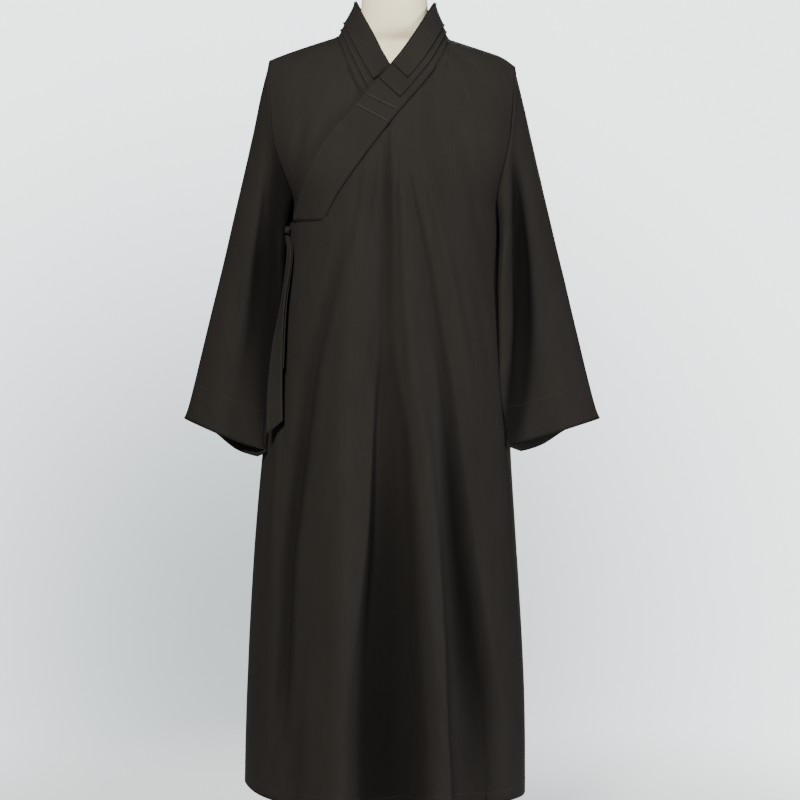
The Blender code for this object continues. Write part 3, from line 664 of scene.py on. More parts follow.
def eased_between(values, low, high):
    """0 below low, 1 above high and a soft step between."""
    share = np.clip((values - low) / (high - low), 0, 1)
    return share * share * (3 - 2 * share)


def lower_down(points, height, drop):
    """0 above a height, 1 from a drop below it and a soft step between."""
    return eased_between(height - points[:, 2], 0, drop)


def crease(piece, front, back, waviness, seed, lips=None, painted_shade=None):
    """Moves a sheet's points by its front creases where it faces forwards, and its back ones behind."""
    points = points_of(piece)
    normals = normals_of(piece)
    fold = np.zeros(len(points))
    shade = np.zeros(len(points))
    if front:
        faces_front = eased_between(-normals[:, 1], *CREASED_FACING)
        fold += crease_depth(points, front) * faces_front
        if lips:
            troughs, colour = trough_depths(points, FRONT_TROUGHS)
            fold += troughs * faces_front
            shade += (colour - troughs) * faces_front
    if back:
        fold += crease_depth(points, back) * eased_between(normals[:, 1], *CREASED_FACING)
    # Painted shade: the folds' depth is kept to colour the cloth darker, less so towards a trough's far side.
    shade = (fold + shade) / (DEEP_FOLD if lips else DEEP_SMALL_FOLD)
    # Bands of painted shade, where the sheet faces forwards.
    if painted_shade:
        shade += crease_depth(points, painted_shade) * eased_between(-normals[:, 1], *PAINTED_SHADE_FACING)
    keep(piece, "fold", shade)
    move = fold + unevenness(points, waviness, seed)
    moved = points + normals * move[:, None]
    if lips:
        moved[:, 0] += lip_shift(points, lips)
        moved[:, 2] += HEM_DROP * np.minimum(fold, 0) * lower_down(points, *HEM_DROP_BELOW)
    set_points(piece, moved)


def into_cloth(edge):
    """The way from a free edge into its own cloth, square to the edge."""
    face = edge.link_faces[0]
    along = (edge.verts[1].co - edge.verts[0].co).normalized()
    way = along.cross(face.normal)
    if way.dot(face.calc_center_median() - edge.verts[0].co) < 0:
        way = -way
    return way


def spread_edges(piece, distance):
    """Moves a sheet's free edges outwards in its own plane, so that it meets the piece that it is sewn to."""
    sheet = opened(piece.data)
    moves = {}
    for edge in sheet.edges:
        if edge.is_boundary:
            for point in edge.verts:
                moves.setdefault(point, []).append(-into_cloth(edge))
    for point, ways in moves.items():
        point.co += sum(ways, Vector()).normalized() * distance
    sheet.to_mesh(piece.data)
    sheet.free()


def inward_ways(sheet, chosen):
    """The chosen free edge points of a sheet, each with its ways into the cloth and its neighbours."""
    ways = {}
    beside = {}
    for edge in sheet.edges:
        if edge.is_boundary and all(chosen(point.co) for point in edge.verts):
            for point, other in (edge.verts, reversed(edge.verts)):
                ways.setdefault(point.index, []).append(into_cloth(edge))
                beside.setdefault(point.index, []).append(other.index)
    return ways, beside


def sewn_lines(piece, distance, chosen):
    """Runs of places on a sheet, a distance inside its chosen free edges, each with the cloth's normal."""
    sheet = opened(piece.data)
    sheet.verts.ensure_lookup_table()
    tree = BVHTree.FromBMesh(sheet)
    ways, beside = inward_ways(sheet, chosen)
    left = set(ways)
    lines = []
    while left:
        ends = [index for index in left if len(beside[index]) == 1]
        run = [min(ends or left)]
        left.discard(run[0])
        while True:
            following = [index for index in beside[run[-1]] if index in left]
            if not following:
                break
            run.append(following[0])
            left.discard(following[0])
        line = []
        for index, before in zip(run, [None] + run):
            way = sum(ways[index], Vector()).normalized()
            place, normal = tree.find_nearest(sheet.verts[index].co + way * distance)[:2]
            if line:
                along_edge = sheet.verts[index].co - sheet.verts[before].co
                along_line = place - line[-1][0]
                doubtful = along_line.length > 2 * along_edge.length
                if doubtful or along_line.length < SAME_PLACE or along_line.angle(along_edge) > LINE_TURN:
                    lines.append(line)
                    line = []
            line.append((place, normal))
        lines.append(line)
    sheet.free()
    return lines


def stitch_shape():
    """One stitch along X: a slim five-sided bead whose ends dip into the cloth."""
    points = [(-.5, 0, -.6)]
    for along in (-.28, .28):
        for corner in range(5):
            angle = math.radians(72) * corner
            points.append((along, math.cos(angle) * .5, math.sin(angle) * .5))
    points.append((.5, 0, -.6))
    faces = []
    for corner in range(5):
        after = (corner + 1) % 5
        faces.append((0, 1 + after, 1 + corner))
        faces.append((1 + corner, 1 + after, 6 + after, 6 + corner))
        faces.append((6 + corner, 6 + after, 11))
    return points, faces


def stitches(name, lines):
    """A piece of sewing: one bead of thread at every step of its lines."""
    shape, shape_faces = stitch_shape()
    points = []
    faces = []
    for line in lines:
        run = STITCH_STEP / 2
        for (start, normal), after in zip(line, line[1:]):
            end = after[0]
            span = (end - start).length
            if span < SAME_PLACE / 10:
                continue
            along = (end - start) / span
            side = normal.cross(along).normalized()
            while run < span:
                middle = start + along * run + normal * STITCH_THICKNESS * STITCH_LIES
                base = len(points)
                for length, width, height in shape:
                    place = along * length * STITCH_LENGTH
                    place += (side * width + normal * height) * STITCH_THICKNESS
                    points.append(middle + place)
                faces += [tuple(base + index for index in face) for face in shape_faces]
                run += STITCH_STEP
            run -= span
    mesh = bpy.data.meshes.new(name)
    mesh.from_pydata(points, [], faces)
    piece = new_object(name, mesh)
    smooth(piece)
    return piece


def distance_to(points, places):
    """How far each point is from the nearest of some places."""
    tree = KDTree(len(places))
    for index, place in enumerate(places):
        tree.insert(place, index)
    tree.balance()
    return np.array([tree.find(point)[2] for point in points])


def mark_sewing(piece, rows):
    """Stores in millimetres how far each point is past its line of stitches, and how far from the edge."""
    points = points_of(piece)
    past_line = np.full(len(points), FAR_FROM_SEWING)
    from_edge = np.full(len(points), FAR_FROM_SEWING)
    sheet = opened(piece.data)
    for distance, chosen in rows:
        places = []
        for edge in sheet.edges:
            if edge.is_boundary and all(chosen(point.co) for point in edge.verts):
                start, end = edge.verts[0].co, edge.verts[1].co
                places += [start.lerp(end, share) for share in (0, .25, .5, .75, 1)]
        if places:
            away = distance_to(points, places)
            past_line = np.minimum(past_line, away - distance)
            from_edge = np.minimum(from_edge, away)
    sheet.free()
    keep(piece, "past_stitches", past_line * 1000)
    keep(piece, "from_edge", from_edge * 1000)


def raise_seam(piece, chosen, rise, width, fades=None):
    """Lifts a sheet beside a sewn join, over the seam's turnings, or lowers it where the rise is below 0."""
    sheet = opened(piece.data)
    places = [point.co.copy() for point in sheet.verts if point.is_boundary and chosen(point.co)]
    sheet.free()
    points = points_of(piece)
    away = distance_to(points, places)
    lift = rise * np.exp(-((away - width * SEAM_CREST) / width) ** 2)
    if fades:
        lift *= eased_between(points[:, 2], *fades)
    set_points(piece, points + normals_of(piece) * lift[:, None])


def draw_in_sleeve(piece, side):
    """Lays a sleeve's inner edge a little over the robe's side, as it hangs in the photograph."""
    points = points_of(piece)
    out = points[:, 0] * side
    front = points[:, 1] < -SLEEVE_FRONT
    rows = np.round(points[front, 2] / SLEEVE_ROW).astype(int)
    levels = np.unique(rows)
    inner = np.array([out[front][rows == level].min() for level in levels])
    inner = np.convolve(np.pad(inner, 2, mode="edge"), np.ones(5) / 5, mode="valid")
    edge = np.interp(points[:, 2], levels * SLEEVE_ROW, inner)
    near = np.exp(-((out - edge) / SLEEVE_INNER_WIDTH) ** 2) * eased_between(-points[:, 1], *SLEEVE_FORWARD)
    below_armpit = lower_down(points, *OVER_SIDE_BELOW)
    low = lower_down(points, *FURTHER_OVER_BELOW)
    points[:, 0] -= side * (SLEEVE_OVERLAP + LOW_SLEEVE_OVERLAP * low) * near * below_armpit
    points[:, 1] -= SLEEVE_PROUD * near * below_armpit
    set_points(piece, points)


def lengthen_end(piece, far, reach):
    """Carries the right front end of a collar layer on down, until it meets the other side's band."""
    points = points_of(piece)
    side = (points[:, 0] < RIGHT_OF_MIDDLE) & (points[:, 1] < 0)
    above = points[:, 2] - points[side, 2].min()
    straight = side & (above > LAYER_STRAIGHT[0]) & (above < LAYER_STRAIGHT[1])
    middle = points[straight].mean(axis=0)
    way = np.linalg.svd(points[straight] - middle, full_matrices=False)[2][0]
    way *= -np.sign(way[2])
    along = (points - middle) @ way
    share = eased_between(along - along[side].max() + reach, 0, reach) * side
    set_points(piece, points + way * (far * share)[:, None])


def map_cloth(piece, turn=0.0, round_body=False):
    """Gives a piece a map in metres: across and along its thread, turned by the angle that it was cut at."""
    mesh = piece.data
    if not mesh.uv_layers:
        mesh.uv_layers.new(name="cloth_map")
    points = points_of(piece)
    across, up = points[:, 0], points[:, 2]
    if round_body:
        across = np.arctan2(across, np.abs(points[:, 1]) + BODY_FLATNESS) * BODY_ROUND
        across = np.where(points[:, 1] > 0, BACK_MAP_AT - across, across)
    cosine, sine = math.cos(turn), math.sin(turn)
    flat = np.stack((across * cosine + up * sine, up * cosine - across * sine), axis=1)
    corners = np.empty(len(mesh.loops), dtype=np.int64)
    mesh.loops.foreach_get("vertex_index", corners)
    mesh.uv_layers[0].data.foreach_set("uv", flat[corners].reshape(-1))


def thicken(piece, thickness):
    """Gives an open sheet its wall, inwards from the face that is seen."""
    wall = piece.modifiers.new("wall", "SOLIDIFY")
    wall.thickness = thickness
    wall.offset = -1
    wall.thickness_clamp = .9
    apply_all(piece)
    smooth(piece)


# Shader nodes


def new_group(name, inputs, outputs):
    """An empty shader group with its named sockets."""
    group = bpy.data.node_groups.new(name, "ShaderNodeTree")
    for label, kind, value in inputs:
        socket = group.interface.new_socket(name=label, in_out="INPUT", socket_type=kind)
        if value is not None:
            socket.default_value = value
    for label, kind in outputs:
        group.interface.new_socket(name=label, in_out="OUTPUT", socket_type=kind)
    entry = group.nodes.new("NodeGroupInput")
    out = group.nodes.new("NodeGroupOutput")
    return group, entry, out


def math_node(group, operation, first, second=None, clamp=False):
    """A Math node in a tree, with each input a socket or a number."""
    node = group.nodes.new("ShaderNodeMath")
    node.operation = operation
    node.use_clamp = clamp
    for slot, value in ((0, first), (1, second)):
        if value is None:
            continue
        if isinstance(value, (int, float)):
            node.inputs[slot].default_value = value
        else:
            group.links.new(value, node.inputs[slot])
    return node.outputs[0]


def plus(group, first, second, clamp=False):
    """The sum of two values."""
    return math_node(group, "ADD", first, second, clamp)


def times(group, first, second):
    """The product of two values."""
    return math_node(group, "MULTIPLY", first, second)


def vector_node(group, operation, vector, second=None):
    """A Vector Math node in a tree, on a vector and a constant."""
    node = group.nodes.new("ShaderNodeVectorMath")
    node.operation = operation
    group.links.new(vector, node.inputs[0])
    if second is not None:
        node.inputs[1].default_value = second
    return node


def noise_node(group, vector, scale, detail=2.0, roughness=.5):
    """A Noise texture's value, from -0.5 to 0.5."""
    node = group.nodes.new("ShaderNodeTexNoise")
    node.inputs["Scale"].default_value = scale
    node.inputs["Detail"].default_value = detail
    node.inputs["Roughness"].default_value = roughness
    group.links.new(vector, node.inputs["Vector"])
    return math_node(group, "SUBTRACT", node.outputs["Fac"], .5)


def stretched(group, vector, scale):
    """A vector with each axis scaled."""
    return vector_node(group, "MULTIPLY", vector, scale).outputs[0]


def ranged(tree, value, at_none, at_all):
    """A value from 0 to 1 carried to a range of its own."""
    node = tree.nodes.new("ShaderNodeMapRange")
    node.inputs["To Min"].default_value = at_none
    node.inputs["To Max"].default_value = at_all
    tree.links.new(value, node.inputs["Value"])
    return node.outputs[0]


def add_relief(tree, shader, height, strength, distance):
    """Gives a shader fine relief from a height."""
    bump = tree.nodes.new("ShaderNodeBump")
    bump.inputs["Strength"].default_value = strength
    bump.inputs["Distance"].default_value = distance
    tree.links.new(height, bump.inputs["Height"])
    tree.links.new(bump.outputs["Normal"], shader.inputs["Normal"])


# The weave: threads in a metre times two, the weft's share of that, how far threads wander, and at what scale
THREADS = 1150.0
WEFT_SPACING = .92
THREAD_WANDER = .0022
WANDER_SCALE = 90

# Thick threads down and across, the brushed nap and the faded patches: how fine each is, across and down
SLUBS_DOWN = (420, 16, 1)
SLUBS_ACROSS = (22, 520, 1)
NAP_SCALE = 620
FADED_PATCHES = (16, 5, 1)

# Puckers along a hem and patches on its edge, worn on the robe and painted shade on the collar layers: how
# fine they are
PUCKER_SCALE = 160
WORN_SCALE = 60


def weave_group():
    """Brushed plain weave: its threads, slubs, nap and faded patches, as a tone and a height."""
    group, entry, out = new_group(
        "brushed weave",
        (
            ("Vector", "NodeSocketVector", None),
            ("Thread", "NodeSocketFloat", THREADS),
            ("Slub", "NodeSocketFloat", .5),
            ("Nap", "NodeSocketFloat", .5),
            ("Fade", "NodeSocketFloat", .4),
        ),
        (("Tone", "NodeSocketFloat"), ("Height", "NodeSocketFloat")),
    )
    at = entry.outputs["Vector"]
    drift = group.nodes.new("ShaderNodeTexNoise")
    drift.inputs["Scale"].default_value = WANDER_SCALE
    drift.inputs["Detail"].default_value = 1
    group.links.new(at, drift.inputs["Vector"])
    wander = vector_node(group, "MULTIPLY_ADD", drift.outputs["Color"], (THREAD_WANDER, THREAD_WANDER, 0))
    group.links.new(at, wander.inputs[2])
    split = group.nodes.new("ShaderNodeSeparateXYZ")
    group.links.new(wander.outputs[0], split.inputs[0])
    pitch = entry.outputs["Thread"]
    warp = math_node(group, "SINE", times(group, split.outputs[0], times(group, pitch, math.pi)))
    pitch_across = times(group, pitch, math.pi * WEFT_SPACING)
    weft = math_node(group, "SINE", times(group, split.outputs[1], pitch_across))
    threads = times(group, times(group, warp, weft), .5)
    slubs_down = noise_node(group, stretched(group, at, SLUBS_DOWN), 1, 3, .6)
    slubs_across = noise_node(group, stretched(group, at, SLUBS_ACROSS), 1, 2, .5)
    slubs = plus(group, slubs_down, times(group, slubs_across, .35))
    slubs = times(group, slubs, entry.outputs["Slub"])
    nap = times(group, noise_node(group, at, NAP_SCALE, 4, .65), entry.outputs["Nap"])
    fade = noise_node(group, stretched(group, at, FADED_PATCHES), 1, 4, .6)
    fade = times(group, fade, entry.outputs["Fade"])
    brushed = plus(group, slubs, nap)
    tone = plus(group, brushed, plus(group, fade, times(group, threads, .12)))
    group.links.new(plus(group, tone, .5, clamp=True), out.inputs["Tone"])
    height = plus(group, times(group, threads, .5), times(group, brushed, .8))
    group.links.new(height, out.inputs["Height"])
    return group


def eased_range(group, value, low, high, at_low, at_high):
    """A value eased from one number to another between two limits."""
    node = group.nodes.new("ShaderNodeMapRange")
    node.interpolation_type = "SMOOTHSTEP"
    for label, number in (("From Min", low), ("From Max", high), ("To Min", at_low), ("To Max", at_high)):
        node.inputs[label].default_value = number
    group.links.new(value, node.inputs["Value"])
    return node.outputs[0]


def hem_group():
    """What sewing does to cloth: the turned hem's step, small puckers along the stitches, and patches along
    the edge, which the robe lightens as wear and the collar layers darken as painted shade.
    """
    group, entry, out = new_group(
        "sewn hem",
        (
            ("Vector", "NodeSocketVector", None),
            ("Past stitches", "NodeSocketFloat", 60.0),
            ("From edge", "NodeSocketFloat", 60.0),
        ),
        (("Height", "NodeSocketFloat"), ("Edge wear and shade", "NodeSocketFloat")),
    )
    at = entry.outputs["Vector"]
    past = entry.outputs["Past stitches"]
    step = eased_range(group, past, -.3, .9, 1, 0)
    away = math_node(group, "ABSOLUTE", past)
    by_line = eased_range(group, away, 0, 5, 1, 0)
    groove = eased_range(group, away, 0, .8, 1, 0)
    puckers = times(group, noise_node(group, at, PUCKER_SCALE, 2, .5), by_line)
    height = plus(group, times(group, step, .5), puckers)
    height = math_node(group, "SUBTRACT", height, times(group, groove, .4))
    group.links.new(height, out.inputs["Height"])
    edge = eased_range(group, entry.outputs["From edge"], 0, 1.6, 1, 0)
    patches = plus(group, noise_node(group, at, WORN_SCALE, 3, .6), .45, clamp=True)
    group.links.new(times(group, edge, patches), out.inputs["Edge wear and shade"])
    return group


WEAVE = weave_group()
HEM = hem_group()


def new_material(name):
    """A material with its shader and output, and the tree to add to."""
    material = bpy.data.materials.new(name)
    material.use_nodes = True
    tree = material.node_tree
    return material, tree, tree.nodes["Principled BSDF"]


def mixed_colour(tree, share, dark, light):
    """A colour that runs from dark to light with a share."""
    mix = tree.nodes.new("ShaderNodeMix")
    mix.data_type = "RGBA"
    mix.inputs[6].default_value = (*dark, 1)
    mix.inputs[7].default_value = (*light, 1)
    tree.links.new(share, mix.inputs[0])
    return mix.outputs[2]


def kept_value(tree, name):
    """A value stored on the piece, read in its material."""
    node = tree.nodes.new("ShaderNodeAttribute")
    node.attribute_name = name
    return node.outputs["Fac"]


# The robe's colours, how much of their lightness deep folds keep under painted shade, and how deep and proud
# a fold that is
DARK_CLOTH = (.0100, .0089, .0079)
LIGHT_CLOTH = (.0224, .0198, .0175)
DARK_BAR = (.0140, .0123, .0108)
LIGHT_BAR = (.0290, .0256, .0226)
DARKEST_FOLD_SHADE = .30
FULL_FOLD_SHADE_AT = -1.3
NO_FOLD_SHADE_AT = .25

# The robe's roughness, its relief's strength and depth, and the hem's share in that relief
ROBE_ROUGHNESS = (.86, .97)
ROBE_RELIEF = (.35, .0006)
HEM_RELIEF = 2.4
SHEEN_COLOUR = (.75, .70, .64, 1)

DARK_THREAD = (.006, .005, .004)
LIGHT_THREAD = (.024, .021, .018)
THREAD_TWIST = 1400


def robe_material(name, dark=DARK_CLOTH, light=LIGHT_CLOTH, edge_wear_and_shade=.5):
    """The robe's cloth: dark warm grey, matt, brushed, with the weave on the piece's own map and painted
    shade in its folds.
    """
    material, tree, shader = new_material(name)
    place = tree.nodes.new("ShaderNodeUVMap")
    place.uv_map = "cloth_map"
    weave = tree.nodes.new("ShaderNodeGroup")
    weave.node_tree = WEAVE
    tree.links.new(place.outputs[0], weave.inputs["Vector"])
    for label, value in (("Thread", THREADS), ("Slub", .55), ("Nap", .55), ("Fade", .55)):
        weave.inputs[label].default_value = value
    hem = tree.nodes.new("ShaderNodeGroup")
    hem.node_tree = HEM
    tree.links.new(place.outputs[0], hem.inputs["Vector"])
    tree.links.new(kept_value(tree, "past_stitches"), hem.inputs["Past stitches"])
    tree.links.new(kept_value(tree, "from_edge"), hem.inputs["From edge"])
    # Edge patches: lighter as wear where the share is above 0, darker as painted shade in the seams where it
    # is below 0.
    wear_and_shade = times(tree, hem.outputs["Edge wear and shade"], edge_wear_and_shade)
    unshaded_colour = mixed_colour(tree, plus(tree, weave.outputs["Tone"], wear_and_shade, clamp=True), dark, light)
    # Painted shade: the deeper the fold, and within the listed bands, the darker the cloth's colour.
    in_fold = eased_range(tree, kept_value(tree, "fold"), FULL_FOLD_SHADE_AT, NO_FOLD_SHADE_AT, DARKEST_FOLD_SHADE, 1)
    colour = vector_node(tree, "SCALE", unshaded_colour)
    tree.links.new(in_fold, colour.inputs["Scale"])
    tree.links.new(colour.outputs[0], shader.inputs["Base Color"])
    height = plus(tree, weave.outputs["Height"], times(tree, hem.outputs["Height"], HEM_RELIEF))
    add_relief(tree, shader, height, *ROBE_RELIEF)
    tree.links.new(ranged(tree, weave.outputs["Tone"], *ROBE_ROUGHNESS), shader.inputs["Roughness"])
    shader.inputs["Sheen Weight"].default_value = .012
    shader.inputs["Sheen Roughness"].default_value = .4
    shader.inputs["Sheen Tint"].default_value = SHEEN_COLOUR
    shader.inputs["Specular IOR Level"].default_value = .06
    return material


def thread_material():
    """Twisted sewing thread, a shade off the cloth."""
    material, tree, shader = new_material("sewing thread")
    place = tree.nodes.new("ShaderNodeTexCoord")
    twist = noise_node(tree, place.outputs["Object"], THREAD_TWIST, 2)
    share = plus(tree, twist, .5, clamp=True)
    colour = mixed_colour(tree, share, DARK_THREAD, LIGHT_THREAD)
    tree.links.new(colour, shader.inputs["Base Color"])
    add_relief(tree, shader, twist, .3, .0002)
    shader.inputs["Roughness"].default_value = .7
    return material


ROBE = robe_material("robe cloth")
# The collar layers' edges are darkened as painted shade in their seams.
COLLAR = robe_material("collar layers", edge_wear_and_shade=-1.2)
BARS = robe_material("collar bars", DARK_BAR, LIGHT_BAR)
THREAD = thread_material()


def stand_for(piece, node, material):
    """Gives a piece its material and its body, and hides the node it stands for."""
    piece.data.materials.clear()
    piece.data.materials.append(material)
    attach(piece, "root")
    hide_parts(node)


# Where each kind of edge lies: heights, and how far out the side seams are
CUFF_BELOW = .80
ARMHOLE_ABOVE = .95
HEM_BELOW = .175
SLIT_BELOW = .56
SLIT_OUTSIDE = .15
CLOSING_RIGHT_OF = -.10
CLOSING_HEIGHTS = (.128, 1.135)
BESIDE_BAND_HEIGHTS = (1.124, 1.395)
BESIDE_BAND = .006


def cuff_edge(place):
    """Edge points of a sleeve's open end."""
    return place.z < CUFF_BELOW


def armhole_edge(place):
    """Edge points of a sleeve's sewn end."""
    return place.z > ARMHOLE_ABOVE


def closing_edge(place):
    """The free edge of the outer front, from the tie to the hem."""
    return place.x < CLOSING_RIGHT_OF and CLOSING_HEIGHTS[0] < place.z < CLOSING_HEIGHTS[1]


def side_edge(place):
    """The edges of both side slits."""
    return abs(place.x) > SLIT_OUTSIDE and HEM_BELOW < place.z < SLIT_BELOW


def left_slit(place):
    """The edge of the slit at the wearer's left."""
    return place.x > 0 and side_edge(place)


def right_slit(place):
    """The edge of the slit at the wearer's right."""
    return place.x < 0 and side_edge(place)


def hem_edge(place):
    """The robe's lower edge."""
    return place.z < HEM_BELOW


def any_edge(place):
    """Every free edge."""
    return place is not None


BAND_FACES = BVHTree.FromBMesh(opened(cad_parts["collar_band"].data))


def near_band(place):
    """Beside the collar band."""
    low, high = BESIDE_BAND_HEIGHTS
    return low < place.z < high and BAND_FACES.find_nearest(place)[3] < BESIDE_BAND


# Rows of sewing on each piece: how far inside the edge, and which edges
SEWING = {
    "front_outer": ((EDGE_SEWING, closing_edge), (SLIT_SEWING, left_slit), (HEM_SEWING, hem_edge)),
    "front_inner": ((SLIT_SEWING, right_slit), (HEM_SEWING, hem_edge)),
    "back": ((SLIT_SEWING, side_edge), (HEM_SEWING, hem_edge)),
    "sleeve_right": ((CUFF_SEWING, cuff_edge),),
    "sleeve_left": ((CUFF_SEWING, cuff_edge),),
    "collar_band": ((EDGE_SEWING, any_edge),),
    "collar_layer_mid": ((LAYER_SEWING, any_edge),),
    "collar_layer_top": ((LAYER_SEWING, any_edge),),
    "tie_front": ((LAYER_SEWING, any_edge),),
    "tie_side": ((LAYER_SEWING, any_edge),),
}

# Each sheet's cut before it was worn: width, length, area, and how the cloth is held
CUTS = {
    "front_outer": (.68, 1.32, .700, "hung"),
    "front_inner": (.52, 1.31, .490, "hung"),
    "back": (.70, 1.36, .760, "hung"),
    "sleeve_right": (.42, .58, .175, "hung"),
    "sleeve_left": (.42, .58, .175, "hung"),
    "collar_band": (.066, 1.05, None, "folded"),
    "collar_layer_mid": (.051, .64, None, "folded"),
    "collar_layer_top": (.040, .56, None, "folded"),
    "collar_bar_upper": (.010, .056, .00029, "folded"),
    "collar_bar_lower": (.010, .056, .00029, "folded"),
    "tie_front": (.030, .300, None, "hung"),
    "tie_side": (.030, .185, None, "hung"),
}

# Each sheet: its node, subdivision levels, whether it is a tube, its wall, the creases in front and behind,
# the turn of its thread, whether its map goes round the body, and its waviness
UNDER_CREASES = {**FRONT_CREASES, **UNDERLAP_CREASES}
CLOTH_PIECES = (
    ("front_outer", 3, False, CLOTH, FRONT_CREASES, None, 0.0, True, .0009),
    ("front_inner", 3, False, CLOTH, UNDER_CREASES, None, 0.0, True, .0009),
    ("back", 3, False, CLOTH, None, BACK_CREASES, 0.0, True, .0009),
    ("sleeve_right", 3, True, CLOTH, RIGHT_SLEEVE_CREASES, BACK_SLEEVE_CREASES, .24, False, .0009),
    ("sleeve_left", 3, True, CLOTH, LEFT_SLEEVE_CREASES, BACK_SLEEVE_CREASES, -.24, False, .0009),
    ("collar_band", 2, False, BAND_CLOTH, None, None, .60, False, .0002),
    ("collar_layer_mid", 2, False, STRIP_CLOTH, None, None, .60, False, 0),
    ("collar_layer_top", 2, False, STRIP_CLOTH, None, None, .60, False, 0),
    ("tie_front", 2, False, TIE_CLOTH, None, None, .05, False, .0002),
    ("tie_side", 2, False, TIE_CLOTH, None, None, .05, False, .0002),
)
WAVES_APART = 7.3
FRONTS = ("front_outer", "front_inner")
SLEEVES = ("sleeve_right", "sleeve_left")


def lay_back(piece):
    """Lays the under front a little back where the outer front covers it."""
    points = points_of(piece)
    under = COVERED_BY * lower_down(points, *COVERED_BELOW)
    set_points(piece, points - normals_of(piece) * under[:, None])


def shape_seams(piece, node):
    """Shapes a sheet where it is sewn to its neighbours."""
    if node == "front_inner":
        lay_back(piece)
    if node in SLEEVES:
        draw_in_sleeve(piece, 1 if node == "sleeve_left" else -1)
        raise_seam(piece, armhole_edge, SEAM_RISE, SEAM_RISE_WIDTH)
    if node in FRONTS + SLEEVES + ("back",):
        spread_edges(piece, JOINED)
    if node == "collar_band":
        spread_edges(piece, BAND_OVER_SEAM)
    if node in FRONTS:
        raise_seam(piece, near_band, -BAND_GROOVE, BAND_GROOVE_WIDTH, BAND_GROOVE_FADES)
    if node == "collar_layer_top":
        lengthen_end(piece, LAYER_END_MOVE, LAYER_END_REACH)


sewing = {}
for order, (node, levels, tube, wall, front, back, turn, round_body, waviness) in enumerate(CLOTH_PIECES):
    piece = outer_sheet(node, node + "_cloth", levels, tube)
    map_cloth(piece, turn, round_body)
    lips = FRONT_LIPS if node in FRONTS else None
    crease(piece, front, back, waviness, 0 if lips else order * WAVES_APART, lips, PAINTED_FOLD_SHADE.get(node))
    shape_seams(piece, node)
    mark_sewing(piece, SEWING[node])
    lines = []
    for distance, chosen in SEWING[node]:
        lines += sewn_lines(piece, distance, chosen)
    sewing[node] = stitches(node + "_stitching", lines)
    sewing[node].data.materials.append(THREAD)
    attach(sewing[node], "root")
    thicken(piece, wall)
    stand_for(piece, node, COLLAR if node.startswith("collar_layer") else ROBE)


# The welts' thread turn and fineness
BAR_TURN = -.45
BAR_LEVELS = 3


def unsewn(piece):
    """Marks a small piece as cloth with no sewing and no folds."""
    mark_sewing(piece, ())
    keep(piece, "fold", np.zeros(len(piece.data.vertices)))


for node in ("collar_bar_upper", "collar_bar_lower"):
    bar = soft_copy(node, node + "_cloth", BAR_LEVELS)
    map_cloth(bar, BAR_TURN)
    unsewn(bar)
    stand_for(bar, node, BARS)


# The knot's turns of tape: tilt, place along it, half its width, radius, stretch across and through
KNOT_TURNS = (
    (-24, -.0012, .0036, .0052, 1.25, .62),
    (32, .0016, .0034, .0058, 1.20, .66),
    (4, .0002, .0030, .0065, 1.02, .70),
)
KNOT_TAPE = .0009
KNOT_RIPPLE = .05
KNOT_PINCH = .18
KNOT_POINTS_ROUND = 28
KNOT_LEVELS = 1

# The tape's section: along its width, and out from its middle
TAPE_SECTION = ((-1, 0), (-.9, 1), (-.3, 1.25), (.3, 1.25), (.9, 1), (1, 0), (.9, -1), (-.9, -1))


def build_knot():
    """The side tie's knot: three flattened turns of tape, one over the other."""
    low, high = (Vector(corner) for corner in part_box("tie_knot"))
    middle = (low + high) / 2
    shell = bmesh.new()
    for tilt, shift, half_width, radius, across, through in KNOT_TURNS:
        cosine, sine = math.cos(math.radians(tilt)), math.sin(math.radians(tilt))
        rings = []
        for turn in range(KNOT_POINTS_ROUND):
            angle = math.tau * turn / KNOT_POINTS_ROUND
            ripple = 1 + KNOT_RIPPLE * math.sin(angle * 3 + tilt)
            rings.append([])
            for along, out in TAPE_SECTION:
                reach = (radius + KNOT_TAPE * .5 * out) * ripple
                x = math.cos(angle) * reach * across
                y = math.sin(angle) * reach * through
                z = along * half_width * (1 - KNOT_PINCH * math.cos(angle * 2)) + shift
                tilted = Vector((x * cosine - z * sine, y, x * sine + z * cosine))
                rings[-1].append(shell.verts.new(middle + tilted))
        for ring, after in zip(rings, rings[1:] + rings[:1]):
            for corner in range(len(ring)):
                following = (corner + 1) % len(ring)
                shell.faces.new((ring[corner], after[corner], after[following], ring[following]))
    bmesh.ops.recalc_face_normals(shell, faces=shell.faces)
    knot = finer_piece("tie_knot_wraps", shell, KNOT_LEVELS)
    smooth(knot)
    return knot


knot = build_knot()
map_cloth(knot)
unsewn(knot)
stand_for(knot, "tie_knot", ROBE)

# The form: its fineness, and where the neck is run smoothly into the chest
FORM_LEVELS = 2
NECK_HEIGHTS = (1.425, 1.500)
NECK_HALF_WIDTH = .075
NECK_SMOOTHINGS = 40

# The jersey's ribs and its creams
KNIT_SCALE = 240
DARK_CREAM = (.76, .69, .47)
LIGHT_CREAM = (.89, .82, .57)


def build_form_piece():
    """The dress form under its jersey: the solid's form, with the neck run smoothly into the chest."""
    piece = soft_copy("dress_form", "dress_form_jersey", FORM_LEVELS)
    shell = opened(piece.data)
    low, high = NECK_HEIGHTS
    neck = [point for point in shell.verts if low < point.co.z < high and abs(point.co.x) < NECK_HALF_WIDTH]
    for _ in range(NECK_SMOOTHINGS):
        bmesh.ops.smooth_vert(
            shell, verts=neck, factor=.5, use_axis_x=False, use_axis_y=True, use_axis_z=False
        )
    shell.to_mesh(piece.data)
    shell.free()
    smooth(piece)
    return piece


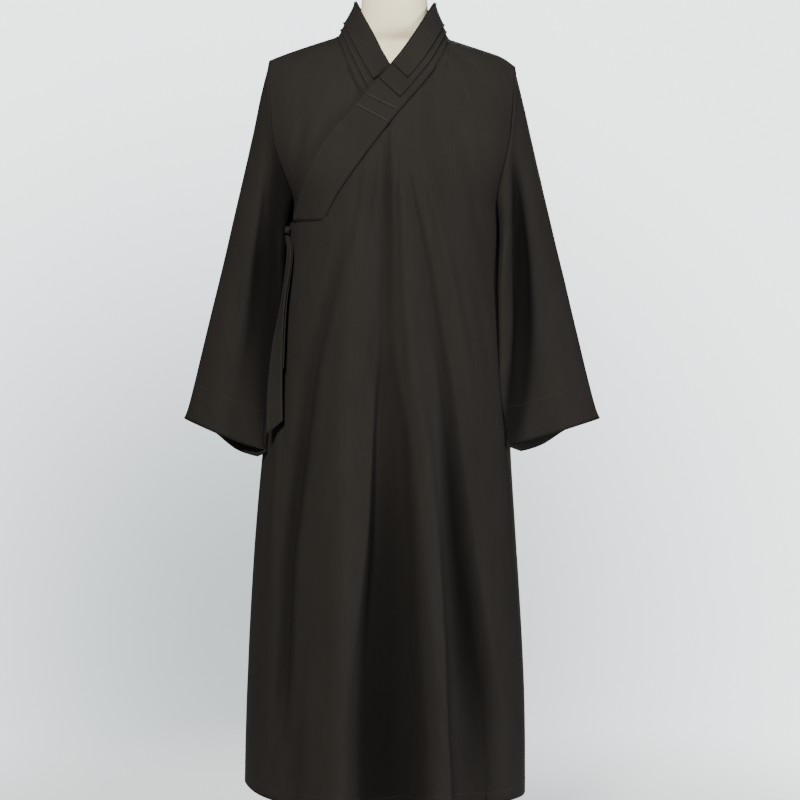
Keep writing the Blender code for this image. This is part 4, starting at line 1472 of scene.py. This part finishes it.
def jersey_material():
    """Stretched cotton jersey: fine knitted ribs on a cream cover, faintly soiled."""
    material, tree, shader = new_material("form jersey")
    place = tree.nodes.new("ShaderNodeTexCoord")
    at = place.outputs["Object"]
    knit = tree.nodes.new("ShaderNodeTexWave")
    knit.inputs["Scale"].default_value = KNIT_SCALE
    knit.inputs["Distortion"].default_value = .6
    knit.inputs["Detail"].default_value = 2
    tree.links.new(at, knit.inputs["Vector"])
    stain = times(tree, noise_node(tree, at, 9, 4), .8)
    share = plus(tree, stain, times(tree, knit.outputs["Fac"], .18))
    colour = mixed_colour(tree, plus(tree, share, .45, clamp=True), DARK_CREAM, LIGHT_CREAM)
    tree.links.new(colour, shader.inputs["Base Color"])
    add_relief(tree, shader, knit.outputs["Fac"], .12, .0004)
    shader.inputs["Roughness"].default_value = .85
    shader.inputs["Sheen Weight"].default_value = .1
    return material


form = build_form_piece()
stand_for(form, "dress_form", jersey_material())

# Stand: a round tube on a turned floor plate
POLE_RADIUS = .0125
POLE_FOOT = .0503
POLE_TOP = .7997
PLATE_RADIUS = .170
PLATE_HEIGHT = .014
HUB_RADIUS = .024
HUB_TOP = .050
TUBE_BEVEL = .0012
PLATE_BEVEL = .0022
ROUND_EDGES = math.radians(40)

# The steel's greys and roughness, and its turning marks round the pole and plate
DARK_STEEL = (.42, .42, .43)
LIGHT_STEEL = (.60, .60, .61)
STEEL_ROUGHNESS = (.26, .46)
TURNING_MARKS = (30, 30, 900)


def metal_material():
    """Satin steel: fine turning marks, cloudy dullness and a little dust."""
    material, tree, shader = new_material("satin steel")
    place = tree.nodes.new("ShaderNodeTexCoord")
    at = place.outputs["Object"]
    marks = noise_node(tree, stretched(tree, at, TURNING_MARKS), 1, 2)
    clouds = noise_node(tree, at, 14, 4)
    share = plus(tree, plus(tree, clouds, times(tree, marks, .5)), .5, clamp=True)
    colour = mixed_colour(tree, share, DARK_STEEL, LIGHT_STEEL)
    tree.links.new(colour, shader.inputs["Base Color"])
    tree.links.new(ranged(tree, share, *STEEL_ROUGHNESS), shader.inputs["Roughness"])
    add_relief(tree, shader, marks, .12, .0002)
    shader.inputs["Metallic"].default_value = 1
    return material


STEEL = metal_material()


def finish_stand(piece, name, node, bevel):
    """Rounds a stand piece's edges, sets its place in its mesh and gives it its finish."""
    piece.name = name
    piece.data.name = name
    only(piece)
    bpy.ops.object.transform_apply(location=True, rotation=True, scale=True)
    edges = piece.modifiers.new("rounded edges", "BEVEL")
    edges.width = bevel
    edges.segments = 4
    edges.angle_limit = ROUND_EDGES
    apply_all(piece)
    only(piece)
    bpy.ops.object.shade_smooth_by_angle(angle=ROUND_EDGES)
    stand_for(piece, node, STEEL)


def build_pole():
    """The tube that carries the form."""
    bpy.ops.object.select_all(action="DESELECT")
    middle = (POLE_FOOT + POLE_TOP) / 2
    bpy.ops.mesh.primitive_cylinder_add(
        vertices=64, radius=POLE_RADIUS, depth=POLE_TOP - POLE_FOOT, location=(0, 0, middle)
    )
    finish_stand(bpy.context.object, "stand_tube", "stand_pole", TUBE_BEVEL)


def select_top(piece, radius):
    """Selects the top faces of a piece in edit mode that lie inside a radius."""
    shell = bmesh.from_edit_mesh(piece.data)
    top = max(point.co.z for point in shell.verts)
    for face in shell.faces:
        middle = face.calc_center_median()
        face.select = middle.z > top - SAME_PLACE and middle.xy.length < radius
    bmesh.update_edit_mesh(piece.data)


def build_plate():
    """The floor plate: a disc with a hub round the tube."""
    bpy.ops.object.select_all(action="DESELECT")
    bpy.ops.mesh.primitive_cylinder_add(
        vertices=96, radius=PLATE_RADIUS, depth=PLATE_HEIGHT, location=(0, 0, PLATE_HEIGHT / 2)
    )
    plate = bpy.context.object
    bpy.ops.object.mode_set(mode="EDIT")
    bpy.ops.mesh.select_mode(type="FACE")
    select_top(plate, PLATE_RADIUS)
    bpy.ops.mesh.inset(thickness=PLATE_RADIUS - HUB_RADIUS)
    bpy.ops.mesh.extrude_region_move(TRANSFORM_OT_translate={"value": (0, 0, HUB_TOP - PLATE_HEIGHT)})
    bpy.ops.object.mode_set(mode="OBJECT")
    finish_stand(plate, "stand_floor_plate", "stand_base", PLATE_BEVEL)


build_pole()
build_plate()

# What each sheet of cloth was cut to, with the sewing on it, gathered for each sheet and not used further
for node, (width, length, area, held) in CUTS.items():
    extras = {}
    if area:
        extras["area"] = area
    if node in sewing:
        extras["with_pieces"] = [sewing[node]]
    if node == "tie_front":
        extras["with_pieces"].append(knot)

# Camera, at the photograph's angle
CAMERA_PLACE = (.0105, -3.2, .825)
CAMERA_LENS = 82.3
camera_data = bpy.data.cameras.new("camera")
camera_data.lens = CAMERA_LENS
camera_data.sensor_width = 36
camera_data.clip_end = 60
camera = new_object("camera", camera_data)
camera.location = CAMERA_PLACE
camera.rotation_euler = (math.radians(90), 0, 0)
bpy.context.scene.camera = camera

# A pale floor that fades into the paler air round it
FLOOR_REACH = 1.8
FLOOR_FADES_FROM = .35
FLOOR_FADES_TO = 1.7
DARK_FLOOR = (.60, .61, .615)
LIGHT_FLOOR = (.64, .65, .655)


def build_floor():
    """A round plain floor."""
    bpy.ops.object.select_all(action="DESELECT")
    bpy.ops.mesh.primitive_circle_add(vertices=96, radius=FLOOR_REACH, fill_type="TRIFAN", location=(0, 0, 0))
    floor = bpy.context.object
    floor.name = "floor"
    material, tree, shader = new_material("pale floor")
    place = tree.nodes.new("ShaderNodeTexCoord")
    grain = noise_node(tree, place.outputs["Object"], 3, 3)
    colour = mixed_colour(tree, plus(tree, grain, .5), DARK_FLOOR, LIGHT_FLOOR)
    tree.links.new(colour, shader.inputs["Base Color"])
    length = vector_node(tree, "LENGTH", place.outputs["Object"])
    fade = eased_range(tree, length.outputs["Value"], FLOOR_FADES_FROM, FLOOR_FADES_TO, 1, 0)
    tree.links.new(fade, shader.inputs["Alpha"])
    shader.inputs["Roughness"].default_value = .9
    shader.inputs["Specular IOR Level"].default_value = .1
    floor.data.materials.append(material)


build_floor()

DAYLIGHT = (.97, .985, 1)
WARM_LIGHT = (1, .98, .935)

# Each light's place, what it is aimed at, its size, power and colour
LIGHTS = {
    "key light": ((-.8, -3.0, 2.8), (0, 0, .9), (.6, .7), 245, WARM_LIGHT),
    "side light": ((3.4, -1.9, 1.5), (0, 0, .8), (1.6, 1.8), 140, DAYLIGHT),
    "back light": ((.6, 3.2, 2.3), (0, 0, .9), (1.6, 1.6), 270, DAYLIGHT),
}


def soft_light(name, place, target, size, power, colour):
    """A rectangular area light aimed at a point."""
    data = bpy.data.lights.new(name, "AREA")
    data.shape = "RECTANGLE"
    data.size, data.size_y = size
    data.energy = power
    data.color = colour
    light = new_object(name, data)
    light.location = place
    light.rotation_euler = (Vector(target) - Vector(place)).to_track_quat("-Z", "Y").to_euler()


for name, (place, target, size, power, colour) in LIGHTS.items():
    soft_light(name, place, target, size, power, colour)

# The air: the light it adds, how bright it looks, its colours in a painted shadow beside the robe and away
# from it, the middle of that painted shadow as a direction, and how far from there the colours change
AIR_LIGHT = .14
AIR_SEEN = 3.4
AIR_IN_PAINTED_SHADOW = (.265, .290, .300)
AIR_FAR = (.84, .92, .94)
PAINTED_SHADOW_MIDDLE = (-.06, 0, -.12)
AIR_CHANGES = (.02, .36)
AIR_TINT = (.93, .96, 1, 1)


def build_air():
    """Pale air behind the robe, with a painted soft shadow beside it and brighter away from it, that adds
    only a dim light of its own.
    """
    world = bpy.data.worlds.new("studio")
    world.use_nodes = True
    tree = world.node_tree
    dim = tree.nodes["Background"]
    dim.inputs["Color"].default_value = AIR_TINT
    dim.inputs["Strength"].default_value = AIR_LIGHT
    seen = tree.nodes.new("ShaderNodeBackground")
    seen.inputs["Strength"].default_value = AIR_SEEN
    place = tree.nodes.new("ShaderNodeTexCoord")
    level = stretched(tree, place.outputs["Generated"], (1, 0, 1))
    away = vector_node(tree, "DISTANCE", level, PAINTED_SHADOW_MIDDLE)
    # Painted shadow: the air seen from the camera is darker round a direction beside the robe.
    share = eased_range(tree, away.outputs["Value"], *AIR_CHANGES, 0, 1)
    tree.links.new(mixed_colour(tree, share, AIR_IN_PAINTED_SHADOW, AIR_FAR), seen.inputs["Color"])
    rays = tree.nodes.new("ShaderNodeLightPath")
    mix = tree.nodes.new("ShaderNodeMixShader")
    tree.links.new(rays.outputs["Is Camera Ray"], mix.inputs[0])
    tree.links.new(dim.outputs[0], mix.inputs[1])
    tree.links.new(seen.outputs[0], mix.inputs[2])
    tree.links.new(mix.outputs[0], tree.nodes["World Output"].inputs["Surface"])
    bpy.context.scene.world = world


build_air()
